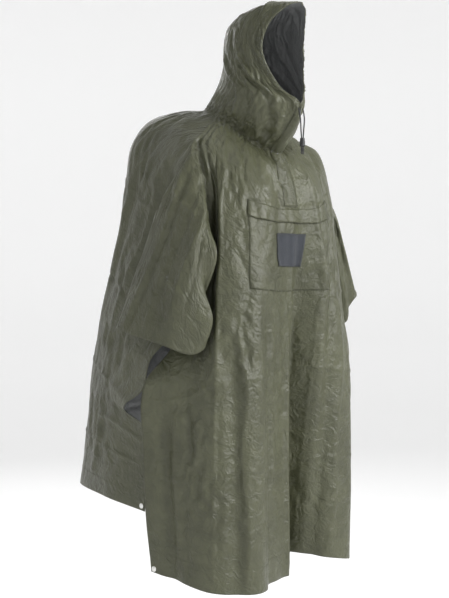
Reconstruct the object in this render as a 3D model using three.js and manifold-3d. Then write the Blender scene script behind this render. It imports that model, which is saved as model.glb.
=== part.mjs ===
// Hooded rain poncho with wide sewn sleeves and room for a rucksack, worn open at the sides.
// Millimetres, +Z up. The origin is between the shoulders at the base of the neck.
// The front faces -Y and the wearer's right side is -X.
import * as THREE from "three";
import { mergeVertices } from "three/addons/utils/BufferGeometryUtils.js";
import Module from "manifold-3d";

const wasm = await Module();
wasm.setup();

// Driving dimensions
const CLOTH = 1.6; // wall of the coated cloth
const TRIM = 1.2; // wall of what is sewn on a panel
const SEAM_GAP = 0.3;
const HEM_EXTRA = 1.2; // a turned hem is this much thicker, on the inside
const CASING_EXTRA = 1.4; // and the drawcord casing round the face, on the outside
const HEM = 55;
const SHOULDER = 110; // heights on the front, down its middle from the neck seam
const PLACKET_BOTTOM = 138;
const FLAP_TOP = 144;
const POCKET_TOP = 152;
const FLAP_BOTTOM = 176;
const PATCH_TOP = 202;
const PATCH_BOTTOM = 280;
const POCKET_BOTTOM = 338;
const UNDERARM = 400;
const FRONT_LENGTH = 1010;
const BACK_UNDERARM = 470; // heights on the back, down its middle
const BACK_LENGTH = 1045;
const PLACKET_HALF = 22; // half breadths across the front
const PATCH_HALF = 57;
const POCKET_HALF = 150;
const FULL_HALF = 330; // the front's half is at least this broad where the pocket is
const CHIN = 0.36; // share of the hood's height where the face opens
const CUFF_HEM = 0.9; // share of the sleeve's length
const HOOD_TURN = -4; // the face opening is turned a little to the wearer's right

// Hardware
const SNAP_RADIUS = 6.5;
const SNAP_HEIGHT = 2.4;
const CORD_RADIUS = 1.6;
const CORD_SIDES = 8;
const CORD_Y = -189; // the plane in which both strands hang
const CORD_EXIT = [7, 66]; // across and height, where an end of the cord leaves the casing
const CORD_SEAT = -183.5; // there it lies on the placket at the chin
const CORD_APART = 2.7; // of each strand from the middle, inside the lock
const LOCK_TOP = -4;
const LOCK_LENGTH = 20;
const LOCK_RADIUS = 6.4;
const KNOT_Z = -31;
const KNOT_RADIUS = 5;
const CORD_END = -42;

// Turns rows under named columns into one list for each column.
function table(columns, rows) {
  return Object.fromEntries(columns.map((name, i) => [name, rows.map((row) => row[i])]));
}

// The right half of the front at each height: its side edge, the valley behind the pressed ridge,
// the ridge, the fullest part and the middle.
const FRONT_RIGHT = table(
  ["down", "side", "valley", "ridge", "lobe", "centre"],
  [
    [0, [-88, 9, 62], [-80, -16, 48], [-64, -41, 18], [-38, -72, -13], [0, -104, -32]],
    [55, [-140, -2, 20], [-132, -30, 8], [-118, -56, -8], [-66, -112, -50], [0, -128, -82]],
    [SHOULDER, [-190, -14, -28], [-172, -52, -44], [-156, -86, -72], [-92, -149, -118], [0, -144, -135]],
    [170, [-191, -52, -92], [-167, -74, -122], [-179, -106, -158], [-106, -163, -190], [0, -151, -194]],
    [250, [-190, -72, -190], [-162, -70, -214], [-190, -120, -244], [-113, -171, -270], [0, -152, -274]],
    [330, [-198, -64, -300], [-164, -64, -314], [-197, -121, -334], [-119, -177, -351], [0, -149, -354]],
    [UNDERARM, [-212, -30, -415], [-176, -66, -412], [-202, -124, -414], [-122, -180, -420], [0, -147, -424]],
    [480, [-240, 6, -500], [-208, -74, -496], [-208, -127, -498], [-126, -183, -502], [0, -143, -504]],
    [560, [-297, 28, -578], [-238, -62, -582], [-213, -128, -586], [-131, -187, -586], [0, -139, -584]],
    [700, [-300, 30, -718], [-256, -62, -722], [-222, -130, -728], [-136, -191, -728], [0, -135, -724]],
    [850, [-297, 24, -864], [-266, -62, -872], [-231, -134, -878], [-140, -195, -878], [0, -137, -874]],
    [FRONT_LENGTH, [-290, 11, -1009], [-272, -66, -1022], [-236, -146, -1040], [-142, -199, -1045], [0, -140, -1035]],
  ],
);

// The left half: the dip beside the middle, its fullest part, the ridge, the turn to the side and the side edge.
const FRONT_LEFT = table(
  ["down", "dip", "lobe", "ridge", "turn", "side"],
  [
    [0, [14, -98, -29], [34, -76, -16], [62, -43, 16], [78, -18, 46], [88, 9, 62]],
    [55, [24, -124, -76], [60, -112, -50], [112, -66, -6], [132, -34, 14], [140, -2, 22]],
    [SHOULDER, [30, -143, -132], [86, -144, -114], [152, -94, -56], [180, -56, -16], [192, -12, -20]],
    [170, [34, -146, -194], [99, -153, -188], [173, -111, -146], [190, -74, -96], [193, -44, -84]],
    [250, [34, -137, -273], [105, -158, -269], [179, -118, -238], [190, -88, -202], [194, -62, -186]],
    [330, [36, -123, -352], [108, -160, -350], [185, -127, -332], [196, -92, -308], [200, -58, -298]],
    [UNDERARM, [36, -112, -414], [110, -160, -408], [192, -130, -410], [212, -92, -412], [212, -30, -415]],
    [480, [38, -102, -490], [110, -158, -488], [196, -140, -490], [232, -100, -490], [236, 4, -495]],
    [560, [40, -94, -566], [108, -154, -566], [198, -144, -570], [236, -102, -572], [262, 14, -574]],
    [700, [44, -82, -700], [106, -148, -704], [200, -148, -712], [240, -102, -714], [270, 20, -714]],
    [850, [50, -72, -846], [104, -142, -852], [200, -150, -864], [240, -104, -866], [272, 22, -862]],
    [FRONT_LENGTH, [56, -64, -998], [108, -136, -1004], [198, -152, -1018], [238, -106, -1021], [272, 26, -1006]],
  ],
);

// The right half of the back at each height; the left half mirrors it.
const BACK = table(
  ["down", "side", "flank", "corner", "centre"],
  [
    [0, [-88, 9, 62], [-74, 72, 82], [-46, 112, 90], [0, 138, 90]],
    [55, [-140, -2, 20], [-128, 102, 58], [-86, 186, 90], [0, 204, 96]],
    [SHOULDER, [-190, -14, -28], [-166, 130, 20], [-130, 240, 66], [0, 262, 84]],
    [170, [-191, 38, -98], [-188, 160, -46], [-160, 267, 8], [0, 290, 38]],
    [250, [-194, 74, -190], [-205, 178, -138], [-172, 273, -82], [0, 299, -42]],
    [350, [-204, 66, -305], [-222, 188, -252], [-184, 294, -190], [0, 314, -150]],
    [BACK_UNDERARM, [-212, -30, -415], [-240, 184, -375], [-193, 322, -310], [0, 336, -268]],
    [570, [-270, 38, -517], [-256, 196, -470], [-198, 345, -412], [0, 356, -366]],
    [645, [-290, 47, -591], [-268, 206, -545], [-201, 360, -488], [0, 370, -440]],
    [695, [-304, 102, -637], [-274, 212, -594], [-203, 372, -538], [0, 380, -490]],
    [735, [-286, 50, -673], [-277, 212, -633], [-205, 374, -580], [0, 384, -530]],
    [850, [-274, 52, -752], [-280, 218, -718], [-209, 382, -682], [0, 398, -645]],
    [BACK_LENGTH, [-269, 66, -880], [-288, 205, -858], [-222, 404, -846], [0, 440, -840]],
  ],
);

// Length lines of each sleeve, from the armhole to the cuff.
const SLEEVE_ALONG = [0, 0.22, 0.46, 0.74, 1];
const SLEEVE_RIGHT = {
  over: [[-190, -14, -28], [-224, 6, -100], [-252, 24, -190], [-290, 56, -320], [-330, 90, -450]],
  foreHigh: [[-190, -64, -125], [-222, -92, -180], [-254, -88, -262], [-284, -72, -374], [-308, -50, -484]],
  foreMid: [[-190, -72, -190], [-222, -116, -236], [-246, -112, -306], [-262, -110, -410], [-262, -98, -506]],
  foreLow: [[-196, -68, -280], [-216, -132, -300], [-230, -106, -356], [-226, -134, -425], [-228, -112, -486]],
  under: [[-212, -30, -415], [-220, -40, -430], [-222, -48, -438], [-222, -56, -446], [-218, -62, -450]],
  aftLow: [[-205, 64, -310], [-226, 60, -345], [-236, 48, -380], [-244, 36, -412], [-244, 22, -440]],
  aftHigh: [[-193, 70, -170], [-226, 84, -212], [-254, 86, -275], [-276, 86, -360], [-292, 82, -446]],
};
const SLEEVE_LEFT = {
  over: [[192, -12, -20], [226, 8, -90], [254, 22, -168], [286, 42, -268], [312, 60, -370]],
  foreHigh: [[194, -58, -122], [216, -80, -165], [242, -78, -230], [272, -70, -302], [301, -64, -366]],
  foreMid: [[194, -64, -186], [216, -84, -226], [240, -84, -280], [262, -82, -344], [276, -74, -400]],
  foreLow: [[198, -62, -275], [216, -86, -302], [232, -86, -344], [248, -84, -398], [260, -76, -438]],
  under: [[212, -30, -415], [224, -33, -424], [228, -38, -434], [230, -42, -442], [230, -46, -446]],
  aftLow: [[205, 64, -310], [226, 58, -340], [240, 48, -374], [252, 38, -408], [258, 28, -436]],
  aftHigh: [[193, 70, -170], [228, 80, -206], [256, 82, -258], [280, 78, -330], [298, 72, -400]],
};
const SLEEVE_AROUND = [0, 0.15, 0.24, 0.35, 0.5, 0.66, 0.84];

// The right half of the hood at each height: face opening, cheek, side, nape and middle seam.
const HOOD = table(
  ["rise", "rim", "cheek", "side", "nape", "seam"],
  [
    [0, [0, -104, -32], [-50, -58, 2], [-88, 9, 62], [-50, 108, 88], [0, 138, 90]],
    [0.18, [0, -162, 20], [-66, -86, 48], [-87, -6, 90], [-52, 84, 112], [0, 112, 120]],
    [CHIN, [0, -186, 72], [-66, -118, 98], [-83, -34, 126], [-50, 56, 148], [0, 88, 162]],
    [0.52, [-40, -151, 122], [-76, -102, 146], [-83, -42, 168], [-52, 36, 190], [0, 70, 206]],
    [0.68, [-65, -126, 200], [-80, -90, 212], [-80, -38, 228], [-52, 32, 240], [0, 64, 246]],
    [0.82, [-57, -140, 262], [-68, -98, 276], [-66, -44, 285], [-44, 20, 284], [0, 46, 288]],
    [0.92, [-29, -172, 302], [-40, -132, 312], [-40, -84, 315], [-26, -28, 313], [0, 4, 314]],
    [1, [0, -190, 313], [0, -162, 319], [0, -132, 323], [0, -96, 323], [0, -60, 319]],
  ],
);
const HOOD_AROUND = [0, 0.25, 0.5, 0.78, 1];

// Folds large enough for the wall: a line across the panel, between two heights, its half breadth and its height.
const FRONT_FOLDS = table(
  ["across", "leans", "from", "to", "half", "height"],
  [
    [-200, -10, 420, 1010, 22, -9],
    [-92, 10, 330, 1010, 26, -12],
    [-40, -8, 40, 300, 16, -5],
    [150, 16, 90, 560, 18, -10],
    [168, 10, 480, 1010, 24, -10],
    [300, 12, 560, 1010, 22, -9],
    [-380, 8, 600, 1010, 22, -10],
  ],
);
const BACK_FOLDS = table(
  ["across", "leans", "from", "to", "half", "height"],
  [
    [-262, -12, 150, 560, 22, -9],
    [-205, -16, 260, 1045, 26, -12],
    [-95, -22, 240, 1045, 32, -15],
    [18, 8, 300, 1045, 34, 12],
    [112, 18, 240, 1045, 32, -15],
    [214, 12, 260, 1045, 26, -12],
    [268, 10, 150, 560, 22, -9],
  ],
);

// A smooth curve through values placed at knots.
function through(knots, values, at) {
  const last = knots.length - 1;
  let i = 0;
  while (i < last - 1 && at > knots[i + 1]) i += 1;
  const slope = (j) => {
    const before = Math.max(j - 1, 0);
    const after = Math.min(j + 1, last);
    return (values[after] - values[before]) / (knots[after] - knots[before]);
  };
  const span = knots[i + 1] - knots[i];
  const t = (at - knots[i]) / span;
  const rise = t * t * (3 - 2 * t);
  const lead = slope(i) * span * t * (1 - t) * (1 - t);
  const trail = slope(i + 1) * span * t * t * (1 - t);
  return values[i] * (1 - rise) + values[i + 1] * rise + lead - trail;
}

const pointThrough = (knots, points, at) =>
  new THREE.Vector3(...[0, 1, 2].map((axis) => through(knots, points.map((point) => point[axis]), at)));

const ease = (t) => {
  const held = Math.min(Math.max(t, 0), 1);
  return held * held * (3 - 2 * held);
};

// Half of a row, from the middle to the side edge, measured along the cloth.
const ROW_SAMPLES = 48;
function halfRow(points) {
  const knots = [0];
  points.slice(1).forEach((point, i) => knots.push(knots[i] + point.distanceTo(points[i])));
  const last = knots.at(-1);
  const list = points.map((point) => point.toArray());
  const beyond = list[1].map((value, axis) => (axis === 0 ? -value : value));
  const at = (place) => pointThrough([-knots[1], ...knots], [beyond, ...list], place);
  const lengths = [0];
  for (let k = 1; k <= ROW_SAMPLES; k += 1) {
    const step = at((last * k) / ROW_SAMPLES).distanceTo(at((last * (k - 1)) / ROW_SAMPLES));
    lengths.push(lengths[k - 1] + step);
  }
  const total = lengths.at(-1);
  const placeOf = (length) => {
    const found = lengths.findIndex((value) => value >= length);
    const k = found < 1 ? (found < 0 ? ROW_SAMPLES : 1) : found;
    const part = (length - lengths[k - 1]) / (lengths[k] - lengths[k - 1]);
    return (last * (k - 1 + part)) / ROW_SAMPLES;
  };
  const lengthTo = (i) => {
    const k = (ROW_SAMPLES * knots[i]) / last;
    const low = Math.floor(k);
    return lengths[low] + (k - low) * ((lengths[low + 1] ?? total) - lengths[low]);
  };
  return { total, lengthTo, pointAt: (length) => at(length >= total ? last : placeOf(length)) };
}

// Places from the first to the last of the given ones, each gap cut into its own number of steps.
function spread(places, counts) {
  const made = [places[0]];
  counts.forEach((count, i) => {
    for (let k = 1; k < count; k += 1) made.push(places[i] + ((places[i + 1] - places[i]) * k) / count);
    made.push(places[i + 1]);
  });
  return made;
}
const evenly = (places, step) =>
  spread(places, places.slice(1).map((place, i) => Math.max(1, Math.round((place - places[i]) / step))));

// Grid columns of half a front row. The placket, the patch, the pocket and the ridge keep to whole columns.
const FRONT_COUNTS = [1, 1, 3, 2, 2, 3];
const PLACKET_LINE = 1;
const PATCH_LINE = 2;
const POCKET_LINE = 5;
function frontHalf(half, ridgeKnot, down) {
  const row = halfRow(half.map((points) => pointThrough(FRONT_RIGHT.down, points, down)));
  const room = Math.min(row.total, FULL_HALF) - PLACKET_HALF;
  const inner = (breadth) => PLACKET_HALF + (room * (breadth - PLACKET_HALF)) / (FULL_HALF - PLACKET_HALF);
  const inside = [0, PLACKET_HALF, inner(PATCH_HALF), inner(POCKET_HALF)];
  const places = [...inside, row.lengthTo(ridgeKnot), row.lengthTo(ridgeKnot + 1), row.total];
  return spread(places, FRONT_COUNTS).map((length) => ({ length, point: row.pointAt(length) }));
}

const BACK_COUNTS = [5, 4, 4];
function backHalf(half, down) {
  const row = halfRow(half.map((points) => pointThrough(BACK.down, points, down)));
  const places = [0, row.lengthTo(1), row.lengthTo(2), row.total];
  return spread(places, BACK_COUNTS).map((length) => ({ length, point: row.pointAt(length) }));
}

// A whole row from its two halves, from the right side edge to the left one.
function joinHalves(right, left) {
  const turned = right.map(({ length, point }) => ({ length: -length, point })).reverse();
  return [...turned, ...left.slice(1)];
}

const flipped = (points) => points.map(([x, y, z]) => [-x, y, z]);
const middle = FRONT_RIGHT.centre;
const frontRightHalf = [middle, FRONT_RIGHT.lobe, FRONT_RIGHT.ridge, FRONT_RIGHT.valley, FRONT_RIGHT.side];
const frontLeftHalf = [middle, FRONT_LEFT.dip, FRONT_LEFT.lobe, FRONT_LEFT.ridge, FRONT_LEFT.turn, FRONT_LEFT.side];
const backRightHalf = [BACK.centre, BACK.corner, BACK.flank, BACK.side];
const frontRow = (down) => joinHalves(frontHalf(frontRightHalf, 2, down), frontHalf(frontLeftHalf, 3, down));
const backRow = (down) => joinHalves(backHalf(backRightHalf, down), backHalf(backRightHalf.map(flipped), down));

// Depth of all folds at one place of a panel. Folds that reach the hem don't fade at it.
const FOLD_FADE = 110;
function foldDepth(folds, across, down) {
  return folds.across.reduce((sum, line, i) => {
    const [from, to] = [folds.from[i], folds.to[i]];
    const crease = line + folds.leans[i] * ((down - from) / (to - from));
    const off = (across - crease) / folds.half[i];
    const start = ease((down - from) / FOLD_FADE);
    const end = to >= FRONT_LENGTH ? 1 : ease((to - down) / FOLD_FADE);
    return sum + folds.height[i] * start * end * Math.exp(-off * off);
  }, 0);
}

// A sheet is a grid of points, each with a normal and a shift away from its seams.
// Where it is crossed, its squares are halved along their other diagonal.
function makeSheet(points, outward) {
  const sheet = { points, outward, rows: points.length, columns: points[0].length, crossed: () => false };
  const held = (value, count) => Math.min(Math.max(value, 0), count - 1);
  const at = (i, j) => points[held(i, sheet.rows)][held(j, sheet.columns)];
  sheet.normals = points.map((row, i) =>
    row.map((_, j) => {
      const across = at(i, j + 1).clone().sub(at(i, j - 1));
      const along = at(i + 1, j).clone().sub(at(i - 1, j));
      return across.cross(along).multiplyScalar(outward).normalize();
    }),
  );
  sheet.shifts = points.map((row) => row.map(() => new THREE.Vector3()));
  return sheet;
}

function folded(sheet, depthAt) {
  const moved = sheet.points.map((row, i) =>
    row.map((point, j) => point.clone().addScaledVector(sheet.normals[i][j], depthAt(i, j))),
  );
  return makeSheet(moved, sheet.outward);
}

// The part of a sheet between two rows and two columns, with the normals it has there.
function cutOut(sheet, top, bottom, first, last) {
  const part = (grid) => grid.slice(top, bottom + 1).map((row) => row.slice(first, last + 1));
  const made = makeSheet(part(sheet.points), sheet.outward);
  made.normals = part(sheet.normals);
  return made;
}

// Points that several sheets share get one normal, so that their walls end on one mitre,
// and each wall is drawn back from the mitre by a little more than half the seam gap.
const CELL = 0.01;
const CELL_SHIFT = 0.0037;
const DRAWN_BACK = 0.75 * SEAM_GAP;
const LEAST_LEAN = 0.7;
const LEAST_SPREAD = 0.14;
function mitreSeams(sheets) {
  const groups = new Map();
  sheets.forEach((sheet, s) =>
    sheet.points.forEach((row, i) =>
      row.forEach((point, j) => {
        const cell = point.toArray().map((value) => Math.round((value + CELL_SHIFT) / CELL)).join();
        if (!groups.has(cell)) groups.set(cell, []);
        groups.get(cell).push({ sheet, s, i, j });
      }),
    ),
  );
  const seams = [...groups.values()].filter((places) => new Set(places.map(({ s }) => s)).size > 1);
  const sewn = new Set(seams.flat().map(({ s, i, j }) => `${s}:${i}:${j}`));
  const around = [[0, 1], [0, -1], [1, 0], [-1, 0], [1, 1], [1, -1], [-1, 1], [-1, -1]];
  seams.forEach((places) => {
    const mitre = new THREE.Vector3();
    places.forEach(({ sheet, i, j }) => mitre.add(sheet.normals[i][j]));
    mitre.normalize();
    const leans = places.map(({ sheet, i, j }) => sheet.normals[i][j].dot(mitre));
    const lean = leans.reduce((sum, value) => sum + value, 0) / leans.length;
    mitre.multiplyScalar(1 / Math.max(lean, LEAST_LEAN));
    const inwards = places.map(({ sheet, s, i, j }) => {
      const inward = new THREE.Vector3();
      around
        .map(([di, dj]) => [i + di, j + dj])
        .filter(([a, b]) => sheet.points[a]?.[b] && !sewn.has(`${s}:${a}:${b}`))
        .forEach(([a, b]) => inward.add(sheet.points[a][b].clone().sub(sheet.points[i][j]).normalize()));
      return inward.normalize();
    });
    const common = inwards.reduce((sum, inward) => sum.add(inward), new THREE.Vector3()).length() / places.length;
    const apart = Math.max(Math.sqrt(Math.max(1 - common * common, 0)), LEAST_SPREAD);
    places.forEach(({ sheet, i, j }, k) => {
      sheet.shifts[i][j] = inwards[k].multiplyScalar((DRAWN_BACK * (places.length - 1)) / apart);
      sheet.normals[i][j] = mitre.clone();
    });
  });
}

// A closed wall on a sheet. The lifts are the distances of its faces from the points, alike or by place.
function wall(sheet, inner, outer) {
  const { rows, columns } = sheet;
  const lift = (by, i, j) => (typeof by === "function" ? by(i, j) : by);
  const faceAt = (by) =>
    sheet.points.flatMap((row, i) =>
      row.map((p, j) => p.clone().add(sheet.shifts[i][j]).addScaledVector(sheet.normals[i][j], lift(by, i, j))),
    );
  const points = [...faceAt(outer), ...faceAt(inner)];
  const under = rows * columns;
  const at = (i, j) => i * columns + j;
  const faces = [];
  const quad = (a, b, c, d) => faces.push([a, b, c], [a, c, d]);
  for (let i = 0; i < rows - 1; i += 1) {
    for (let j = 0; j < columns - 1; j += 1) {
      const [a, b, c, d] = [at(i, j), at(i, j + 1), at(i + 1, j + 1), at(i + 1, j)];
      const outerQuad = sheet.crossed(i, j) ? [b, c, d, a] : [a, b, c, d];
      const [e, f, g, h] = outerQuad.map((index) => under + index);
      quad(...outerQuad);
      quad(e, h, g, f);
    }
  }
  const border = (a, b) => quad(b, a, under + a, under + b);
  for (let j = 0; j < columns - 1; j += 1) {
    border(at(0, j), at(0, j + 1));
    border(at(rows - 1, j + 1), at(rows - 1, j));
  }
  for (let i = 0; i < rows - 1; i += 1) {
    border(at(i + 1, 0), at(i, 0));
    border(at(i, columns - 1), at(i + 1, columns - 1));
  }
  if (sheet.outward < 0) faces.forEach((face) => face.reverse());
  const geometry = new THREE.BufferGeometry();
  geometry.setAttribute("position", new THREE.Float32BufferAttribute(points.flatMap((p) => p.toArray()), 3));
  geometry.setIndex(faces.flat());
  return geometry;
}

// Closed solids for boolean work
const WELD = 1e-3;
function solidOf(geometry) {
  const bare = geometry.clone();
  bare.deleteAttribute("normal");
  bare.deleteAttribute("uv");
  const merged = mergeVertices(bare, WELD);
  return new wasm.Manifold(
    new wasm.Mesh({
      numProp: 3,
      vertProperties: new Float32Array(merged.attributes.position.array),
      triVerts: new Uint32Array(merged.index.array),
    }),
  );
}
function geometryOf(solid) {
  const mesh = solid.getMesh();
  const geometry = new THREE.BufferGeometry();
  geometry.setAttribute("position", new THREE.Float32BufferAttribute(mesh.vertProperties, 3));
  geometry.setIndex([...mesh.triVerts]);
  return geometry;
}

// Materials
const finish = (color, roughness, metalness = 0) => new THREE.MeshStandardMaterial({ color, roughness, metalness });
const OLIVE = () => finish(0x5a5a44, 0.5);
const SLATE = () => finish(0x5c5f6b, 0.75);
const SNAP_METAL = () => finish(0xd8d8d4, 0.3, 0.6);
const BLACK_CORD = () => finish(0x111214, 0.8);
const BLACK_PLASTIC = () => finish(0x15161a, 0.35);

const group = new THREE.Group();
function add(name, geometry, material) {
  const mesh = new THREE.Mesh(geometry, material());
  mesh.name = name;
  group.add(mesh);
}

// Body panels. They keep their place at the seams, so folds fade out there.
const NECK_FADE = 60;
const SIDE_FADE = 45;
function panel(rowAt, downs, folds, underarm, outward) {
  const rows = downs.map(rowAt);
  const flat = makeSheet(rows.map((row) => row.map(({ point }) => point)), outward);
  return folded(flat, (i, j) => {
    const across = rows[i][j].length;
    const edge = across < 0 ? rows[i][0].length : rows[i].at(-1).length;
    const held = downs[i] <= underarm ? ease(Math.abs(edge - across) / SIDE_FADE) : 1;
    return foldDepth(folds, across, downs[i]) * held * ease(downs[i] / NECK_FADE);
  });
}

const ROW_STEP = 40;
const pocketRows = [PLACKET_BOTTOM, FLAP_TOP, POCKET_TOP, FLAP_BOTTOM, PATCH_TOP, PATCH_BOTTOM, POCKET_BOTTOM];
const frontDowns = evenly([0, SHOULDER, ...pocketRows, UNDERARM, FRONT_LENGTH - HEM, FRONT_LENGTH], ROW_STEP);
const backDowns = evenly([0, SHOULDER, BACK_UNDERARM, 570, 645, 695, 735, BACK_LENGTH - HEM, BACK_LENGTH], ROW_STEP);
const front = panel(frontRow, frontDowns, FRONT_FOLDS, UNDERARM, -1);
const back = panel(backRow, backDowns, BACK_FOLDS, BACK_UNDERARM, 1);

// The back's side edges meet the front's along the shoulder seams and under the arms.
const shoulder = frontDowns.indexOf(SHOULDER);
const frontUnderarm = frontDowns.indexOf(UNDERARM);
const backUnderarm = backDowns.indexOf(BACK_UNDERARM);
for (let i = 0; i <= shoulder; i += 1) {
  back.points[i][0].copy(front.points[i][0]);
  back.points[i].at(-1).copy(front.points[i].at(-1));
}
back.points[backUnderarm][0].copy(front.points[frontUnderarm][0]);
back.points[backUnderarm].at(-1).copy(front.points[frontUnderarm].at(-1));

// One half of a sleeve. Its first row is the panel's own armhole edge.
const ALONGS = evenly([0, CUFF_HEM, 1], 0.085);
function sleeveHalf(lines, edge, from, to, outward) {
  const names = Object.keys(lines);
  const order = [...names.slice(-2), ...names, ...names.slice(0, 2)];
  const before = SLEEVE_AROUND.slice(-2).map((knot) => knot - 1);
  const after = SLEEVE_AROUND.slice(0, 2).map((knot) => knot + 1);
  const knots = [...before, ...SLEEVE_AROUND, ...after];
  const lineAt = (name, along) => pointThrough(SLEEVE_ALONG, lines[name], along).toArray();
  const freeAt = (around, along) => pointThrough(knots, order.map((name) => lineAt(name, along)), around);
  const arounds = edge.map((_, k) => from + ((to - from) * k) / (edge.length - 1));
  const rows = ALONGS.map((along) =>
    edge.map((point, k) => {
      const held = point.clone().sub(freeAt(arounds[k], 0)).multiplyScalar((1 - along) ** 2);
      return along === 0 ? point.clone() : freeAt(arounds[k], along).add(held);
    }),
  );
  return makeSheet(rows, outward);
}
const rightEdge = (sheet, from, to) => sheet.points.slice(from, to + 1).map((row) => row[0]);
const leftEdge = (sheet, from, to) => sheet.points.slice(from, to + 1).map((row) => row.at(-1));
const sleeves = {
  sleeve_right_fore: sleeveHalf(SLEEVE_RIGHT, rightEdge(front, shoulder, frontUnderarm), 0, 0.5, -1),
  sleeve_right_aft: sleeveHalf(SLEEVE_RIGHT, rightEdge(back, shoulder, backUnderarm), 1, 0.5, 1),
  sleeve_left_fore: sleeveHalf(SLEEVE_LEFT, leftEdge(front, shoulder, frontUnderarm), 0, 0.5, 1),
  sleeve_left_aft: sleeveHalf(SLEEVE_LEFT, leftEdge(back, shoulder, backUnderarm), 1, 0.5, -1),
};

// One half of the hood. Its first row is the panels' own neckline, from the throat to the nape.
const RISES = evenly([0, CHIN, 1], 0.07);
const chinRow = RISES.indexOf(CHIN);
const LEAST_BREADTH = 0.5;
function hoodHalf(side, outward) {
  const fromMiddle = (row) => {
    const half = (row.length - 1) / 2;
    return side < 0 ? row.slice(0, half + 1).reverse() : row.slice(half);
  };
  const fore = fromMiddle(front.points[0]);
  const aft = fromMiddle(back.points[0]).reverse();
  const ring = [...fore, ...aft.slice(1)];
  const arounds = spread([0, 0.5, 1], [fore.length - 1, aft.length - 1]);
  const lines = [HOOD.rim, HOOD.cheek, HOOD.side, HOOD.nape, HOOD.seam];
  const lineAt = (line, rise) => pointThrough(HOOD.rise, line, rise).toArray();
  const freeAt = (around, rise) => {
    const point = pointThrough(HOOD_AROUND, lines.map((line) => lineAt(line, rise)), around);
    return point.setX(-side * point.x);
  };
  const rows = RISES.map((rise) =>
    ring.map((point, k) => {
      if (rise === 0) return point.clone();
      const around = arounds[k];
      const held = point.clone().sub(freeAt(around, 0)).multiplyScalar((1 - rise) ** 3);
      const made = freeAt(around, rise).add(held);
      const inMiddle = around === 1 || rise === 1 || (around === 0 && rise <= CHIN);
      const breadth = inMiddle ? 0 : Math.max(side * made.x, LEAST_BREADTH);
      return made.setX(side * breadth + HOOD_TURN * ease((rise - CHIN) / (1 - CHIN)));
    }),
  );
  return makeSheet(rows, outward);
}
const hoods = { hood_right: hoodHalf(-1, -1), hood_left: hoodHalf(1, 1) };

mitreSeams([front, back, ...Object.values(sleeves), ...Object.values(hoods)]);

const hemOf = (downs, length) => (i) => -CLOTH - (downs[i] >= length - HEM ? HEM_EXTRA : 0);
add("front_panel", wall(front, hemOf(frontDowns, FRONT_LENGTH), 0), OLIVE);
add("back_panel", wall(back, hemOf(backDowns, BACK_LENGTH), 0), OLIVE);
const cuffWall = (i) => -CLOTH - (ALONGS[i] >= CUFF_HEM ? HEM_EXTRA : 0);
Object.entries(sleeves).forEach(([name, sheet]) => add(name, wall(sheet, cuffWall, 0), OLIVE));
const casingWall = (i, j) => (i > chinRow && i < RISES.length - 1 && j === 0 ? CASING_EXTRA : 0);
Object.entries(hoods).forEach(([name, sheet]) => add(name, wall(sheet, -CLOTH, casingWall), OLIVE));

// What is sewn on the front lies on the front's own points, moved out.
const mid = (front.columns - 1) / 2;
const onFront = (top, bottom, line) =>
  cutOut(front, frontDowns.indexOf(top), frontDowns.indexOf(bottom), mid - line, mid + line);
const FIRST = SEAM_GAP;
const SECOND = FIRST + TRIM + SEAM_GAP;
const FLAP_STAND = 1.6; // the flap's lower edge stands off the pocket by this
add("chest_pocket", wall(onFront(POCKET_TOP, POCKET_BOTTOM, POCKET_LINE), FIRST, FIRST + TRIM), OLIVE);
add("chest_patch", wall(onFront(PATCH_TOP, PATCH_BOTTOM, PATCH_LINE), SECOND, SECOND + TRIM), SLATE);
const flap = onFront(FLAP_TOP, FLAP_BOTTOM, POCKET_LINE);
const flapInner = (i) => (i === 0 ? FIRST : SECOND) + (i === flap.rows - 1 ? FLAP_STAND : 0);
add("pocket_flap", wall(flap, flapInner, (i) => flapInner(i) + TRIM), OLIVE);

// The placket runs from the chin down the throat and over the neck seam to just above the flap.
function placketSheet() {
  const [right, left] = [hoods.hood_right, hoods.hood_left];
  const throat = (grid) => (i) => [grid(right)[i][PLACKET_LINE], grid(right)[i][0], grid(left)[i][PLACKET_LINE]];
  const hoodRows = spread([chinRow, 1], [chinRow - 1]);
  const below = onFront(0, PLACKET_BOTTOM, PLACKET_LINE);
  const points = [...hoodRows.map(throat((sheet) => sheet.points)), ...below.points];
  const normals = [...hoodRows.map(throat((sheet) => sheet.normals)), ...below.normals];
  const made = makeSheet(points, -1);
  made.normals = normals;
  made.crossed = (i, j) => j === 1 && i < hoodRows.length;
  return made;
}
add("front_placket", wall(placketSheet(), FIRST, FIRST + TRIM), OLIVE);

// A snap in each bottom corner, on the flat triangle of cloth nearest that corner.
const SNAP_SIDES = 20;
function snapOn(sheet, onRight) {
  const i = sheet.rows - 2;
  const j = onRight ? 0 : sheet.columns - 2;
  const [a, b] = [sheet.points[i][j], sheet.points[i][j + 1]];
  const [c, d] = [sheet.points[i + 1][j + 1], sheet.points[i + 1][j]];
  const [p, q, r] = onRight ? [a, c, d] : [a, b, c];
  const [forP, forQ, forR] = [q.distanceTo(r), r.distanceTo(p), p.distanceTo(q)];
  const centre = new THREE.Vector3();
  centre.addScaledVector(p, forP).addScaledVector(q, forQ).addScaledVector(r, forR);
  centre.divideScalar(forP + forQ + forR);
  const normal = q.clone().sub(p).cross(r.clone().sub(p)).multiplyScalar(sheet.outward).normalize();
  const geometry = new THREE.CylinderGeometry(SNAP_RADIUS * 0.8, SNAP_RADIUS, SNAP_HEIGHT, SNAP_SIDES);
  geometry.applyQuaternion(new THREE.Quaternion().setFromUnitVectors(new THREE.Vector3(0, 1, 0), normal));
  const seat = centre.addScaledVector(normal, SEAM_GAP + SNAP_HEIGHT / 2);
  return geometry.translate(seat.x, seat.y, seat.z);
}
add("snap_front_right", snapOn(front, true), SNAP_METAL);
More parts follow.
